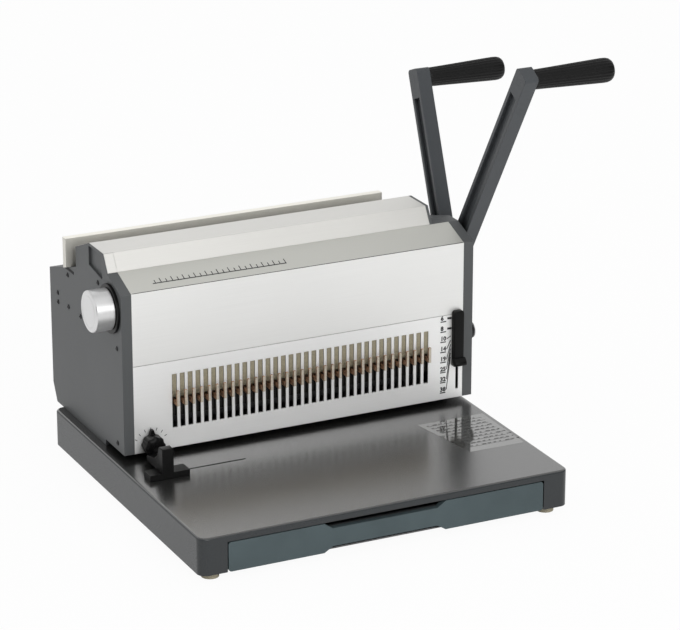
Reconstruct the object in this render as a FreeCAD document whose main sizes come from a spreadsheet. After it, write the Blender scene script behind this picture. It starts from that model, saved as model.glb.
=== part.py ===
import FreeCAD, Part
import os
import re
import Sketcher

# A manual punching and comb-opening machine.  Millimetres, +Z up, +Y to the back.
# The origin is on the bench, below the middle of the base.

SIZES = {
    # base and its feet
    "base_width": 395,
    "base_depth": 376,
    "base_height": 38,
    "base_wall": 3,
    "base_corner": 9,
    "base_edge": 2.5,
    "floor_sheet": 1.5,
    "foot_height": 8,
    "pad_radius": 8.7,
    "foot_inset": 17,
    "corner_post": 12,
    # chip drawer
    "fascia_width": 337,
    "fascia_height": 30,
    "fascia_thickness": 6,
    "fascia_gap": 1,
    "pull_width": 112,
    "pull_shift": -4,
    "pull_slope": 9,
    "pull_rise": 5.5,
    "pull_dip": 6,
    "tray_width": 310,
    "tray_depth": 244,
    "tray_height": 21,
    "tray_sheet": 1.5,
    "tray_wall": 3,
    "tray_corner": 4.5,
    "runner_sheet": 1.5,
    "runner_shelf": 4,
    "runner_height": 20,
    # body between the two cheeks
    "body_shift": 6.25,
    "body_width": 365.5,
    "cheek_thickness": 11,
    "panel_setback": 208.6,
    "body_reach": 402,
    "throat_gap": 6,
    "throat_depth": 49.4,
    "body_height": 173,
    "shelf_depth": 34.4,
    "shelf_rise": 12.5,
    "hood_lean": 10.3,
    "hood_rise": 17.2,
    "hood_top": 37.7,
    "hood_slope": 36,
    "hood_fall": 14.4,
    "hood_width": 344,
    "cap_thickness": 3,
    "deck_depth": 19,
    "deck_drop": 18.5,
    "cover_drop": 41.2,
    "rear_step": 10,
    "rear_step_height": 19,
    "sheet": 2,
    "bar_setback": 132.4,
    "bar_thickness": 8,
    "bar_rise": 26,
    "bar_overhang": 5.2,
    "bar_width": 354.7,
    "recess_depth": 2.5,
    "rod_half": 5,
    "high_rod_back": 160,
    "high_rod_up": 118,
    "middle_rod_back": 109.4,
    "middle_rod_up": 117,
    "low_rod_up": 34,
    # slots of the front panel, with their fixed fingers and moving hooks
    "loops": 34,
    "pitch": 8.4667,
    "row_shift": 0.65,
    "slot_width": 5.2,
    "slot_bottom": 26.9,
    "slot_height": 56.7,
    "seam_height": 97.4,
    "seam_gap": 0.4,
    "finger_width": 4.4,
    "finger_inset": 0.5,
    "finger_drop": 24.4,
    "finger_sheet": 2,
    "finger_strip": 12,
    "hook_width": 2.6,
    "hook_sheet": 2.6,
    "hook_height": 16,
    "hook_leg": 4,
    "hook_reach": 8,
    "hook_strip": 18,
    "hook_strip_sheet": 3,
    "hook_travel": 24.5,
    # opener: carriage, crank and handle
    "lift_spread": 150,
    "lift_sheet": 5,
    "limb_half": 10,
    "lug_up": 73.8,
    "lug_height": 15,
    "lug_wall": 3,
    "post_side": 8,
    "post_spread": 163,
    "post_setback": 18.4,
    "opener_setback": 81.4,
    "opener_height": 144,
    "crank_radius": 29,
    "crank_pin_radius": 4,
    "crank_pin_end": 1,
    "crank_hub": 11,
    "crank_tip": 8,
    "crank_corner": 0.6,
    "crank_sheet": 6,
    "crank_gap": 0.5,
    "yoke_play": 0.35,
    # punch: pins, bar, eccentrics and handle
    "pin_setback": 31.4,
    "pin_side": 4,
    "die_entry": 1,
    "pin_length": 26,
    "ram_travel": 8.5,
    "ram_bar_height": 10,
    "ram_bar_depth": 14,
    "ram_bar_width": 310,
    "ram_cap_height": 3,
    "ram_spread": 125,
    "ram_post_spread": 149,
    "ram_yoke_sheet": 8,
    "die_thickness": 6,
    "die_flange": 3,
    "die_depth": 20,
    "stripper_height": 6,
    "stripper_front": 13.4,
    "stripper_depth": 28,
    "punch_setback": 45.4,
    "punch_height": 59,
    "eccentric_radius": 16,
    "eccentric_throw": 7.91,
    # shafts and their fits
    "shaft_radius": 7,
    "shaft_end": 8,
    "shaft_head_radius": 8.5,
    "shaft_head": 5,
    "fit": 0.05,
    "running_gap": 0.3,
    # handles
    "arm_gap": 4,
    "arm_width": 20.4,
    "arm_thickness": 15,
    "arm_channel": 4,
    "arm_rim": 4,
    "arm_hub": 11.5,
    "bend_web": 14.3,
    "bend_height": 98,
    "front_grip_forward": 126,
    "front_grip_height": 302,
    "rear_grip_back": 62,
    "rear_grip_height": 164,
    "grip_length": 90,
    "grip_radius": 11.5,
    "spindle_radius": 4,
    "spindle_reach": 76.5,
    # margin knob and its stop bar
    "margin_setback": 27.4,
    "margin_height": 152,
    "knob_radius": 21,
    "knob_length": 20,
    "knob_collar_radius": 25,
    "knob_collar": 3,
    "margin_shaft_radius": 4,
    "margin_cam_gap": 5.5,
    "margin_cam_radius": 10,
    "margin_throw": 2,
    "margin_play": 0.6,
    "margin_plate": 5,
    "margin_wall": 4,
    "margin_limb": 10,
    "margin_clear": 1,
    "margin_travel": 4,
    "stop_depth": 4,
    "stop_setback": 39.9,
    # paper alignment dial
    "dial_x": 165.3,
    "dial_height": 11.5,
    "dial_radius": 9,
    "dial_length": 12,
    "dial_bar": 3,
    "dial_bar_length": 12.6,
    "dial_bar_rise": 2,
    "pointer_reach": 16,
    "pointer_root": 9,
    "pointer_tip": 2.2,
    "dial_shaft_radius": 2.5,
    "dial_shaft_length": 8,
    # opening limit slider
    "slider_x": 176.4,
    "slider_width": 13,
    "slider_thickness": 6,
    "slider_bottom": 44,
    "slider_height": 55,
    "slider_edge": 1.5,
    "slider_knob": 8,
    "slider_cross": 19.5,
    "slider_cross_height": 4,
    "slider_rib": 6.5,
    "slider_nut_width": 9.6,
    "slider_nut_height": 18,
    "slider_nut_sheet": 4,
    "slider_slot": 3,
    "slider_travel": 28.5,
    # paper edge guide
    "guide_x": -164,
    "guide_foot_width": 42,
    "guide_foot_height": 6,
    "guide_slot_y": 164,
    "guide_slot_width": 2.4,
    "guide_stem": 24,
    "guide_travel": 75,
    "fence_width": 12,
    "fence_shift": -2,
    "fence_height": 31,
    "fence_depth": 40,
    "guide_lip": 15,
}

FRONT = "(-base_depth / 2)"
BASE_TOP = "(foot_height + base_height)"
PANEL = f"({FRONT} + panel_setback)"
REAR = f"({FRONT} + body_reach)"
LEFT = "(body_shift - body_width / 2)"
RIGHT = "(body_shift + body_width / 2)"
THROAT_TOP = f"({BASE_TOP} + throat_gap)"
BODY_TOP = f"({BASE_TOP} + body_height)"
SEAM = f"({BASE_TOP} + seam_height)"
SHELF_BACK = f"({PANEL} + shelf_depth)"
SHELF_TOP = f"({BODY_TOP} + shelf_rise)"
HOOD_TOP = f"({SHELF_TOP} + hood_rise)"
HOOD_FRONT = f"({SHELF_BACK} + hood_lean)"
HOOD_BACK = f"({HOOD_FRONT} + hood_top)"
HOOD_END = f"({HOOD_BACK} + hood_slope)"
DECK_BACK = f"({SHELF_BACK} + deck_depth)"
DECK_LOW = f"({SHELF_TOP} - deck_drop)"
COVER_LOW = f"({SHELF_TOP} - cover_drop)"
COVER_FALL = f"((cover_drop - deck_drop) / ({REAR} - {HOOD_END}))"
ROW_LEFT = "(body_shift + row_shift - pitch * (loops - 1) / 2)"
SLOT_BOTTOM = f"({BASE_TOP} + slot_bottom)"
SLOT_TOP = f"({SLOT_BOTTOM} + slot_height)"
STRIP_BACK = f"({PANEL} + sheet + finger_sheet + running_gap)"
PIN_Y = f"({PANEL} + pin_setback)"
PIN_TIP = f"({BASE_TOP} + ram_travel - die_entry)"
PIN_HEAD = f"({PIN_TIP} + pin_length)"
PUNCH_Y = f"({PANEL} + punch_setback)"
PUNCH_Z = f"({BASE_TOP} + punch_height)"
OPENER_Y = f"({PANEL} + opener_setback)"
OPENER_Z = f"({BASE_TOP} + opener_height)"
MARGIN_Y = f"({PANEL} + margin_setback)"
MARGIN_Z = f"({BASE_TOP} + margin_height)"
ARM_START = f"({RIGHT} + cheek_thickness + arm_gap)"
ARM_END = f"({ARM_START} + arm_thickness)"
SHAFT_BORE = "(shaft_radius + fit)"
PLANES = {"X": ("YZ_Plane", 1), "Y": ("XZ_Plane", -1), "Z": ("XY_Plane", 1)}

document = FreeCAD.newDocument("BindingMachine")
pieces = []


# --- the sheet, and what reads it -------------------------------------------------------------


def fill_sheet():
    """Write each driving size into the sheet, with its name as alias."""
    sheet = document.addObject("Spreadsheet::Sheet", "Sizes")
    for row, (name, number) in enumerate(SIZES.items(), 1):
        sheet.set(f"A{row}", name)
        sheet.set(f"B{row}", str(number))
        sheet.setAlias(f"B{row}", name)
    document.recompute()


def formula(text):
    """Put the sheet's name before each size that a formula mentions."""
    return re.sub(r"[a-z]\w*", lambda word: prefixed(word.group()), str(text))


def prefixed(word):
    return f"Sizes.{word}" if word in SIZES else word


def bind(thing, prop, text):
    thing.setExpression(prop, formula(text))


def keep(thing):
    """List a finished sub-part, whose Label names its file."""
    pieces.append(thing)
    return thing


# --- sketches and features of a body ----------------------------------------------------------


def new_body(label):
    return keep(document.addObject("PartDesign::Body", label))


def origin_part(body, role):
    return next(part for part in body.Origin.OriginFeatures if part.Role == role)


def new_sketch(body, axis, start):
    """Make a sketch square to a world axis, at a height along it."""
    role, side = PLANES[axis]
    sketch = body.newObject("Sketcher::SketchObject", "Sketch")
    sketch.AttachmentSupport = [(origin_part(body, role), "")]
    sketch.MapMode = "FlatFace"
    bind(sketch, "AttachmentOffset.Base.z", f"{side} * ({start})")
    return sketch


def pin_point(sketch, line, across, up):
    """Bind the start of a line to a pair of formulas."""
    for kind, text in (("DistanceX", across), ("DistanceY", up)):
        index = sketch.addConstraint(Sketcher.Constraint(kind, -1, 1, line, 1, 1.0))
        bind(sketch, f"Constraints[{index}]", text)


def draw_outline(sketch, points):
    """Draw one closed outline of straight edges through pairs of formulas."""
    first = sketch.GeometryCount
    count = len(points)
    ring = Part.makeCircle(1 + first).discretize(count + 1)
    for index in range(count):
        sketch.addGeometry(Part.LineSegment(ring[index], ring[index + 1]), False)
    for index in range(count):
        following = first + (index + 1) % count
        sketch.addConstraint(Sketcher.Constraint("Coincident", first + index, 2, following, 1))
    for index, (across, up) in enumerate(points):
        pin_point(sketch, first + index, across, up)


def draw_circle(sketch, across, up, radius):
    """Draw one circle from formulas for its centre and radius."""
    shape = sketch.addGeometry(Part.Circle(FreeCAD.Vector(), FreeCAD.Vector(0, 0, 1), 1), False)
    index = sketch.addConstraint(Sketcher.Constraint("Radius", shape, 1.0))
    bind(sketch, f"Constraints[{index}]", radius)
    for kind, text in (("DistanceX", across), ("DistanceY", up)):
        index = sketch.addConstraint(Sketcher.Constraint(kind, -1, 1, shape, 3, 1.0))
        bind(sketch, f"Constraints[{index}]", text)


def draw(sketch, shapes):
    """Draw outlines, given as lists of points, and circles, given as tuples."""
    for shape in shapes:
        if isinstance(shape, tuple):
            draw_circle(sketch, *shape)
        else:
            draw_outline(sketch, shape)


def square(left, right, low, high):
    """The four corners of a rectangle."""
    return [(left, low), (right, low), (right, high), (left, high)]


def pad(body, axis, start, length, *shapes):
    """Add material from a height along a world axis, towards its far end."""
    sketch = new_sketch(body, axis, start)
    draw(sketch, shapes)
    feature = body.newObject("PartDesign::Pad", "Pad")
    feature.Profile = sketch
    feature.Reversed = axis == "Y"
    bind(feature, "Length", length)
    document.recompute()
    return feature


def pocket(body, axis, start, length, *shapes):
    """Cut material away from a height along a world axis, towards its far end."""
    before = body.Shape.Volume
    sketch = new_sketch(body, axis, start)
    draw(sketch, shapes)
    feature = body.newObject("PartDesign::Pocket", "Pocket")
    feature.Profile = sketch
    feature.Reversed = axis != "Y"
    bind(feature, "Length", length)
    document.recompute()
    if body.Shape.Volume > before - 0.01:
        raise ValueError(f"a pocket of {body.Label} cuts nothing")
    return feature


def turn(body, centre, profile):
    """Revolve pairs of (x, radius) about a line along X, given by its y and z."""
    sketch = new_sketch(body, "Y", centre[0])
    bind(sketch, "AttachmentOffset.Base.y", centre[1])
    draw_outline(sketch, profile)
    feature = body.newObject("PartDesign::Revolution", "Revolution")
    feature.Profile = sketch
    feature.ReferenceAxis = (sketch, ["H_Axis"])
    feature.Angle = 360
    document.recompute()
    return feature


def repeat(body, features, axis, length, count):
    """Repeat features in a straight row whose overall length is given."""
    row = body.newObject("PartDesign::LinearPattern", "Row")
    row.Originals = features
    row.Direction = (origin_part(body, f"{axis}_Axis"), [""])
    bind(row, "Length", length)
    bind(row, "Occurrences", count)
    body.Tip = row
    document.recompute()
    return row


def repeat_loops(body, features):
    return repeat(body, features, "X", "pitch * (loops - 1)", "loops")


def round_edges(body, radius, chosen):
    """Fillet the edges of a body that a test picks out."""
    base = body.Tip
    names = [f"Edge{index}" for index, edge in enumerate(base.Shape.Edges, 1) if chosen(edge)]
    if not names:
        raise ValueError(f"no edge of {body.Label} is picked to be rounded")
    feature = body.newObject("PartDesign::Fillet", "Fillet")
    feature.Base = (base, names)
    bind(feature, "Radius", radius)
    document.recompute()
    return feature


def runs_along(edge, axis):
    """True for a straight edge parallel to a world axis."""
    if len(edge.Vertexes) != 2 or edge.Curve.TypeId != "Part::GeomLine":
        return False
    return abs(edge.tangentAt(edge.FirstParameter).dot(axis)) > 0.999


X_WAY = FreeCAD.Vector(1, 0, 0)
Y_WAY = FreeCAD.Vector(0, 1, 0)
Z_WAY = FreeCAD.Vector(0, 0, 1)


# --- plain solids -----------------------------------------------------------------------------


def block(name, x, y, z):
    """A box from (start, length) along each axis."""
    solid = document.addObject("Part::Box", name)
    for prop, place, (start, length) in zip(("Length", "Width", "Height"), "xyz", (x, y, z)):
        bind(solid, prop, length)
        bind(solid, f"Placement.Base.{place}", start)
    return solid


TURNS = {
    "X": FreeCAD.Rotation(Y_WAY, 90),
    "Y": FreeCAD.Rotation(X_WAY, -90),
}


def rod(name, axis, place, length, radius):
    """A cylinder from a point, towards the far end of a world axis."""
    solid = document.addObject("Part::Cylinder", name)
    solid.Placement = FreeCAD.Placement(FreeCAD.Vector(), TURNS[axis])
    bind(solid, "Radius", radius)
    bind(solid, "Height", length)
    for letter, text in zip("xyz", place):
        bind(solid, f"Placement.Base.{letter}", text)
    return solid


# --- base, feet and drawer --------------------------------------------------------------------

FEET = [(side, end) for side in (-1, 1) for end in (-1, 1)]
FOOT_X = "(base_width / 2 - foot_inset)"
FOOT_Y = "(base_depth / 2 - foot_inset)"
FLOOR_TOP = "(foot_height + floor_sheet)"
FASCIA_BACK = f"({FRONT} + fascia_thickness)"
FASCIA_TOP = "(foot_height + fascia_height)"
RAIL_TOP = f"({FLOOR_TOP} + runner_sheet)"
TRAY_BOTTOM = f"({RAIL_TOP} + running_gap)"
PULL_LEFT = "(pull_shift - pull_width / 2)"
PULL_RIGHT = "(pull_shift + pull_width / 2)"
DIE_LEFT = f"({ROW_LEFT} - pitch)"
DIE_RIGHT = f"({ROW_LEFT} + pitch * loops)"
DIE_FRONT = f"({PIN_Y} - die_depth / 2)"
DIE_BACK = f"({PIN_Y} + die_depth / 2)"
PLATE_BOTTOM = f"({BASE_TOP} - base_wall)"
GUIDE_Y = f"({FRONT} + guide_slot_y)"
STEM_HALF = "(guide_stem / 2)"
INNER_CUT = "((2 - sqrt(2)) * (base_corner - base_wall))"


def cut_square(left, right, low, high, cut):
    """The eight corners of a rectangle whose own corners are cut off."""
    return [(f"{left} + {cut}", low), (f"{right} - {cut}", low), (right, f"{low} + {cut}"),
            (right, f"{high} - {cut}"), (f"{right} - {cut}", high), (f"{left} + {cut}", high),
            (left, f"{high} - {cut}"), (left, f"{low} + {cut}")]


def corner_posts():
    """A square post above each foot."""
    half = "corner_post / 2"
    return [square(f"{side} * {FOOT_X} - {half}", f"{side} * {FOOT_X} + {half}",
                   f"{end} * {FOOT_Y} - {half}", f"{end} * {FOOT_Y} + {half}")
            for side, end in FEET]


def base_pan():
    """Cover of the base: top plate and skirt, open below, with a mouth for the drawer."""
    body = new_body("base_pan")
    pad(body, "Z", "foot_height", "base_height",
        square("-base_width / 2", "base_width / 2", FRONT, "base_depth / 2"))
    round_edges(body, "base_corner", lambda edge: runs_along(edge, Z_WAY))
    top = body.Shape.BoundBox.ZMax
    round_edges(body, "base_edge", lambda edge: abs(edge.CenterOfMass.z - top) < 0.01)
    side = "(base_width / 2 - base_wall)"
    end = "(base_depth / 2 - base_wall)"
    pocket(body, "Z", "foot_height", "base_height - base_wall",
           cut_square(f"-{side}", side, f"-{end}", end, INNER_CUT))
    pad(body, "Z", FLOOR_TOP, f"{PLATE_BOTTOM} - {FLOOR_TOP}", *corner_posts())
    mouth = "(fascia_width / 2 + fascia_gap)"
    pocket(body, "Y", FRONT, "base_wall",
           square(f"-{mouth}", mouth, "foot_height", f"{FASCIA_TOP} + fascia_gap"))
    window = square(f"{DIE_LEFT} - fit", f"{DIE_RIGHT} + fit",
                    f"{DIE_FRONT} - fit", f"{DIE_BACK} + fit")
    pocket(body, "Z", PLATE_BOTTOM, "base_wall", window)
    slot = square(f"guide_x - {STEM_HALF} - running_gap",
                  f"guide_x + {STEM_HALF} + guide_travel + running_gap",
                  f"{GUIDE_Y} - guide_slot_width / 2", f"{GUIDE_Y} + guide_slot_width / 2")
    pocket(body, "Z", PLATE_BOTTOM, "base_wall", slot)


def base_floor_plate():
    """Sheet that closes the base from below, behind the drawer's fascia."""
    body = new_body("base_floor_plate")
    side = "(base_width / 2 - base_wall - running_gap)"
    pad(body, "Z", "foot_height", "floor_sheet",
        cut_square(f"-{side}", side, f"({FASCIA_BACK} + running_gap)",
                   "(base_depth / 2 - base_wall - running_gap)", INNER_CUT))


def repeat_feet(body, feature):
    """Repeat a feature made at the left front foot at the other three."""
    row = repeat(body, [feature], "X", f"2 * {FOOT_X}", "2")
    row.Direction2 = (origin_part(body, "Y_Axis"), [""])
    bind(row, "Length2", f"2 * {FOOT_Y}")
    bind(row, "Occurrences2", "2")
    document.recompute()


def foot_pads():
    """Soft round pads, one at each corner."""
    body = new_body("foot_pads")
    repeat_feet(body, pad(body, "Z", "0", "foot_height", (f"-{FOOT_X}", f"-{FOOT_Y}", "pad_radius")))


def drawer_runners():
    """Two folded rails on the floor plate, which carry the tray on their shelves."""
    body = new_body("drawer_runners")
    inner = "(tray_width / 2 + running_gap)"
    outer = f"({inner} + runner_sheet)"
    shapes = []
    for side in (-1, 1):
        shapes.append([(f"{side} * ({across})", up) for across, up in [
            (f"{inner} - runner_shelf", FLOOR_TOP), (outer, FLOOR_TOP),
            (outer, f"{FLOOR_TOP} + runner_height"), (inner, f"{FLOOR_TOP} + runner_height"),
            (inner, RAIL_TOP), (f"{inner} - runner_shelf", RAIL_TOP)]])
    pad(body, "Y", f"{FASCIA_BACK} + fascia_thickness", "tray_depth", *shapes)


def drawer_tray():
    """Chip tray, open above."""
    body = new_body("drawer_tray")
    side = "tray_width / 2"
    back = f"{FASCIA_BACK} + tray_depth"
    pad(body, "Z", TRAY_BOTTOM, "tray_height", square(f"-{side}", side, FASCIA_BACK, back))
    round_edges(body, "tray_corner", lambda edge: runs_along(edge, Z_WAY))
    pocket(body, "Z", f"{TRAY_BOTTOM} + tray_sheet", "tray_height - tray_sheet",
           square(f"tray_wall - {side}", f"{side} - tray_wall",
                  f"{FASCIA_BACK} + tray_wall", f"{back} - tray_wall"))


def drawer_fascia():
    """Drawer front, raised below and dipped above its middle for the fingers."""
    body = new_body("drawer_fascia")
    side = "fascia_width / 2"
    pad(body, "Y", FRONT, "fascia_thickness", [
        (f"-{side}", "foot_height"), (f"{PULL_LEFT} - pull_slope", "foot_height"),
        (PULL_LEFT, "foot_height + pull_rise"), (PULL_RIGHT, "foot_height + pull_rise"),
        (f"{PULL_RIGHT} + pull_slope", "foot_height"), (side, "foot_height"),
        (side, FASCIA_TOP), (f"{PULL_RIGHT} + pull_slope", FASCIA_TOP),
        (PULL_RIGHT, f"{FASCIA_TOP} - pull_dip"), (PULL_LEFT, f"{FASCIA_TOP} - pull_dip"),
        (f"{PULL_LEFT} - pull_slope", FASCIA_TOP), (f"-{side}", FASCIA_TOP)])
    limit = body.Shape.BoundBox.XMax - 0.1
    round_edges(body, "base_wall", lambda edge: runs_along(edge, Y_WAY)
                and abs(edge.CenterOfMass.x) > limit)


# --- cheeks, sheets and bars of the casing ----------------------------------------------------

ROD_PLACES = [("high_rod_back", "high_rod_up"), ("middle_rod_back", "middle_rod_up"),
              ("high_rod_back", "low_rod_up")]
THROAT_BACK = f"({PANEL} + throat_depth)"
STEP_TOP = f"({BASE_TOP} + rear_step_height)"
CHEEK_LEFT = f"({LEFT} - cheek_thickness)"
SHAFT_CENTRES = [(PUNCH_Y, PUNCH_Z), (OPENER_Y, OPENER_Z)]


def shaft_bores():
    return [(along, up, SHAFT_BORE) for along, up in SHAFT_CENTRES]


def cheek_outline(top):
    """Side view of a cheek, with the stretch of its top that differs between the two."""
    return [(PANEL, THROAT_TOP), (PANEL, BODY_TOP), (SHELF_BACK, SHELF_TOP), *top,
            (HOOD_END, DECK_LOW), (REAR, COVER_LOW), (REAR, STEP_TOP),
            (f"{REAR} - rear_step", BASE_TOP), (THROAT_BACK, BASE_TOP), (THROAT_BACK, THROAT_TOP)]


def left_cheek():
    """Left side, with the ear that closes the hood and a recess in its face."""
    body = new_body("left_cheek")
    ear = [(HOOD_FRONT, HOOD_TOP), (HOOD_BACK, HOOD_TOP), (HOOD_END, f"{HOOD_TOP} - hood_fall")]
    pad(body, "X", CHEEK_LEFT, "cheek_thickness", cheek_outline(ear))
    pocket(body, "X", f"{LEFT} - shaft_end", "shaft_end", *shaft_bores())
    pocket(body, "X", CHEEK_LEFT, "cheek_thickness",
           (MARGIN_Y, MARGIN_Z, "margin_shaft_radius + fit"))
    pocket(body, "X", CHEEK_LEFT, "recess_depth", [
        (f"{HOOD_FRONT} + recess_depth", f"{SHELF_TOP} - hood_lean"),
        (f"{HOOD_FRONT} + hood_top", f"{SHELF_TOP} - hood_lean / 2"),
        (f"{HOOD_FRONT} + hood_top", f"{HOOD_TOP} - recess_depth"),
        (f"{HOOD_FRONT} + recess_depth", f"{HOOD_TOP} - recess_depth")])


def right_cheek():
    """Right side, which stops at the deck beside the hood."""
    body = new_body("right_cheek")
    pad(body, "X", RIGHT, "cheek_thickness", cheek_outline([(DECK_BACK, SHELF_TOP)]))
    pocket(body, "X", RIGHT, "cheek_thickness", *shaft_bores())


def upper_front_panel():
    """Folded sheet: the plain upper front and the sloping shelf above it."""
    body = new_body("upper_front_panel")
    pad(body, "X", LEFT, "body_width", [
        (PANEL, f"{SEAM} + seam_gap"), (PANEL, BODY_TOP), (SHELF_BACK, SHELF_TOP),
        (SHELF_BACK, f"{SHELF_TOP} - sheet"),
        (f"{PANEL} + sheet", f"{BODY_TOP} - sheet + sheet * shelf_rise / shelf_depth"),
        (f"{PANEL} + sheet", f"{SEAM} + seam_gap")])


def slotted_front_panel():
    """Lower front with a slot for each loop, the slider's slot and the dial's hole."""
    body = new_body("slotted_front_panel")
    pad(body, "Y", PANEL, "sheet", square(LEFT, RIGHT, THROAT_TOP, SEAM))
    pocket(body, "Y", PANEL, "sheet",
           square(f"{SLIDER_X} - slider_slot / 2", f"{SLIDER_X} + slider_slot / 2",
                  f"{SLIDER_BOTTOM} - slider_travel - running_gap",
                  f"{SLIDER_BOTTOM} + slider_height / 2"),
           (DIAL_X, DIAL_Z, "dial_shaft_radius + fit"))
    slot = pocket(body, "Y", PANEL, "sheet",
                  square(f"{ROW_LEFT} - slot_width / 2", f"{ROW_LEFT} + slot_width / 2",
                         SLOT_BOTTOM, SLOT_TOP))
    repeat_loops(body, [slot])


def top_hood():
    """Folded sheet over the body, from the shelf's back edge down to the rear cover."""
    body = new_body("top_hood")
    lean = "hood_lean / hood_rise"
    fall = "hood_fall / hood_slope"
    pad(body, "X", LEFT, "hood_width", [
        (SHELF_BACK, SHELF_TOP), (HOOD_FRONT, HOOD_TOP), (HOOD_BACK, HOOD_TOP),
        (HOOD_END, f"{HOOD_TOP} - hood_fall"), (HOOD_END, DECK_LOW),
        (f"{HOOD_END} - sheet",
         f"{DECK_LOW} + sheet * deck_drop / ({HOOD_END} - {DECK_BACK})"),
        (f"{HOOD_END} - sheet", f"{HOOD_TOP} - hood_fall + sheet * {fall} - sheet"),
        (HOOD_BACK, f"{HOOD_TOP} - sheet"),
        (f"{HOOD_FRONT} + sheet - sheet * {lean}", f"{HOOD_TOP} - sheet"),
        (f"{SHELF_BACK} + sheet", SHELF_TOP)])


def hood_end_cap():
    """Plate that closes the hood's right end."""
    body = new_body("hood_end_cap")
    pad(body, "X", f"{LEFT} + hood_width", "cap_thickness", [
        (SHELF_BACK, SHELF_TOP), (HOOD_FRONT, HOOD_TOP), (HOOD_BACK, HOOD_TOP),
        (HOOD_END, f"{HOOD_TOP} - hood_fall"), (HOOD_END, DECK_LOW), (DECK_BACK, SHELF_TOP)])


def rear_cover():
    """Folded sheet: deck below the hood, sloping top and back wall."""
    body = new_body("rear_cover")
    pad(body, "X", LEFT, "body_width", [
        (SHELF_BACK, SHELF_TOP), (DECK_BACK, SHELF_TOP), (HOOD_END, DECK_LOW),
        (REAR, COVER_LOW), (REAR, STEP_TOP), (f"{REAR} - rear_step", BASE_TOP),
        (f"{REAR} - rear_step - sheet", BASE_TOP), (f"{REAR} - sheet", STEP_TOP),
        (f"{REAR} - sheet", f"{COVER_LOW} - sheet + sheet * {COVER_FALL}"),
        (HOOD_END, f"{DECK_LOW} - sheet"), (DECK_BACK, f"{SHELF_TOP} - sheet"),
        (SHELF_BACK, f"{SHELF_TOP} - sheet")])


def rear_bar():
    """Upright bar behind the hood, seated on the slope of the rear cover."""
    body = new_body("rear_bar")
    front = f"({PANEL} + bar_setback)"
    back = f"({front} + bar_thickness)"
    top = f"({DECK_LOW} + bar_rise)"
    pad(body, "X", f"{CHEEK_LEFT} - bar_overhang", "bar_width", [
        (front, f"{DECK_LOW} - ({front} - {HOOD_END}) * {COVER_FALL}"),
        (back, f"{DECK_LOW} - ({back} - {HOOD_END}) * {COVER_FALL}"), (back, top), (front, top)])


def hexagon(across, up, half):
    """The six corners of a hexagonal bar, from half its width across the corners."""
    rise = f"{half} * sqrt(3) / 2"
    return [(f"{across} + {half}", up), (f"{across} + {half} / 2", f"{up} + {rise}"),
            (f"{across} - {half} / 2", f"{up} + {rise}"), (f"{across} - {half}", up),
            (f"{across} - {half} / 2", f"{up} - {rise}"),
            (f"{across} + {half} / 2", f"{up} - {rise}")]


def tie_rods():
    """Hexagonal bars that hold the cheeks apart."""
    pad(new_body("tie_rods"), "X", LEFT, "body_width",
        *[hexagon(f"{PANEL} + {back}", f"{BASE_TOP} + {up}", "rod_half")
          for back, up in ROD_PLACES])


# --- comb opener: fixed fingers, hooks, carriage and posts ------------------------------------

ROW_RIGHT = f"({ROW_LEFT} + pitch * (loops - 1))"
LEG_BOTTOM = f"({SLOT_BOTTOM} + hook_travel + 2 * yoke_play)"
LEG_TOP = f"({LEG_BOTTOM} + hook_leg)"
STRIP_LOW = f"({LEG_TOP} - hook_strip)"
LIFT_FRONT = f"({STRIP_BACK} + hook_strip_sheet)"
LIFT_EDGE = "(lift_spread + lift_sheet / 2)"
CRANK_RISE = "(hook_travel / 2)"
CRANK_REACH = f"sqrt(crank_radius ^ 2 - {CRANK_RISE} ^ 2)"
PIN_REST_Y = f"({OPENER_Y} - {CRANK_REACH})"
PIN_REST_Z = f"({OPENER_Z} + {CRANK_RISE})"
POST_Y = f"({PANEL} + post_setback)"
STRIPPER_TOP = f"({THROAT_TOP} + stripper_height)"


def comb_fingers():
    """Fixed comb behind the panel: a strip with one finger down each slot."""
    body = new_body("comb_fingers")
    back = f"{PANEL} + sheet"
    finger = pad(body, "Y", f"{PANEL} + finger_inset", "finger_sheet + sheet - finger_inset",
                 square(f"{ROW_LEFT} - finger_width / 2", f"{ROW_LEFT} + finger_width / 2",
                        f"{SLOT_TOP} - finger_drop", f"{SLOT_TOP} - running_gap"))
    repeat_loops(body, [finger])
    pad(body, "Y", back, "finger_sheet",
        square(f"{ROW_LEFT} - pitch", f"{ROW_RIGHT} + pitch",
               f"{SLOT_TOP} - finger_sheet", f"{SLOT_TOP} - finger_sheet + finger_strip"))


def comb_hooks():
    """Moving comb: a strip with one upturned hook through each slot."""
    body = new_body("comb_hooks")
    tip = f"({PANEL} - hook_reach)"
    root = f"({STRIP_BACK} + hook_strip_sheet / 2)"
    left = f"({ROW_LEFT} + slot_width / 2 - hook_width - 2 * running_gap)"
    hook = pad(body, "X", left, "hook_width", [
        (root, LEG_BOTTOM), (tip, LEG_BOTTOM), (tip, f"{LEG_BOTTOM} + hook_height"),
        (f"{tip} + hook_sheet", f"{LEG_BOTTOM} + hook_height"), (f"{tip} + hook_sheet", LEG_TOP),
        (root, LEG_TOP)])
    repeat_loops(body, [hook])
    pad(body, "Y", STRIP_BACK, "hook_strip_sheet",
        square(f"body_shift - {LIFT_EDGE}", f"body_shift + {LIFT_EDGE}", STRIP_LOW, LEG_TOP))


def post_square(side, spread, centre, half_width, half_depth):
    """Outline of an upright post, or of a hole round it, on one side of the machine."""
    middle = f"(body_shift + {side} * {spread})"
    return square(f"{middle} - {half_width}", f"{middle} + {half_width}",
                  f"{centre} - {half_depth}", f"{centre} + {half_depth}")


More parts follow.
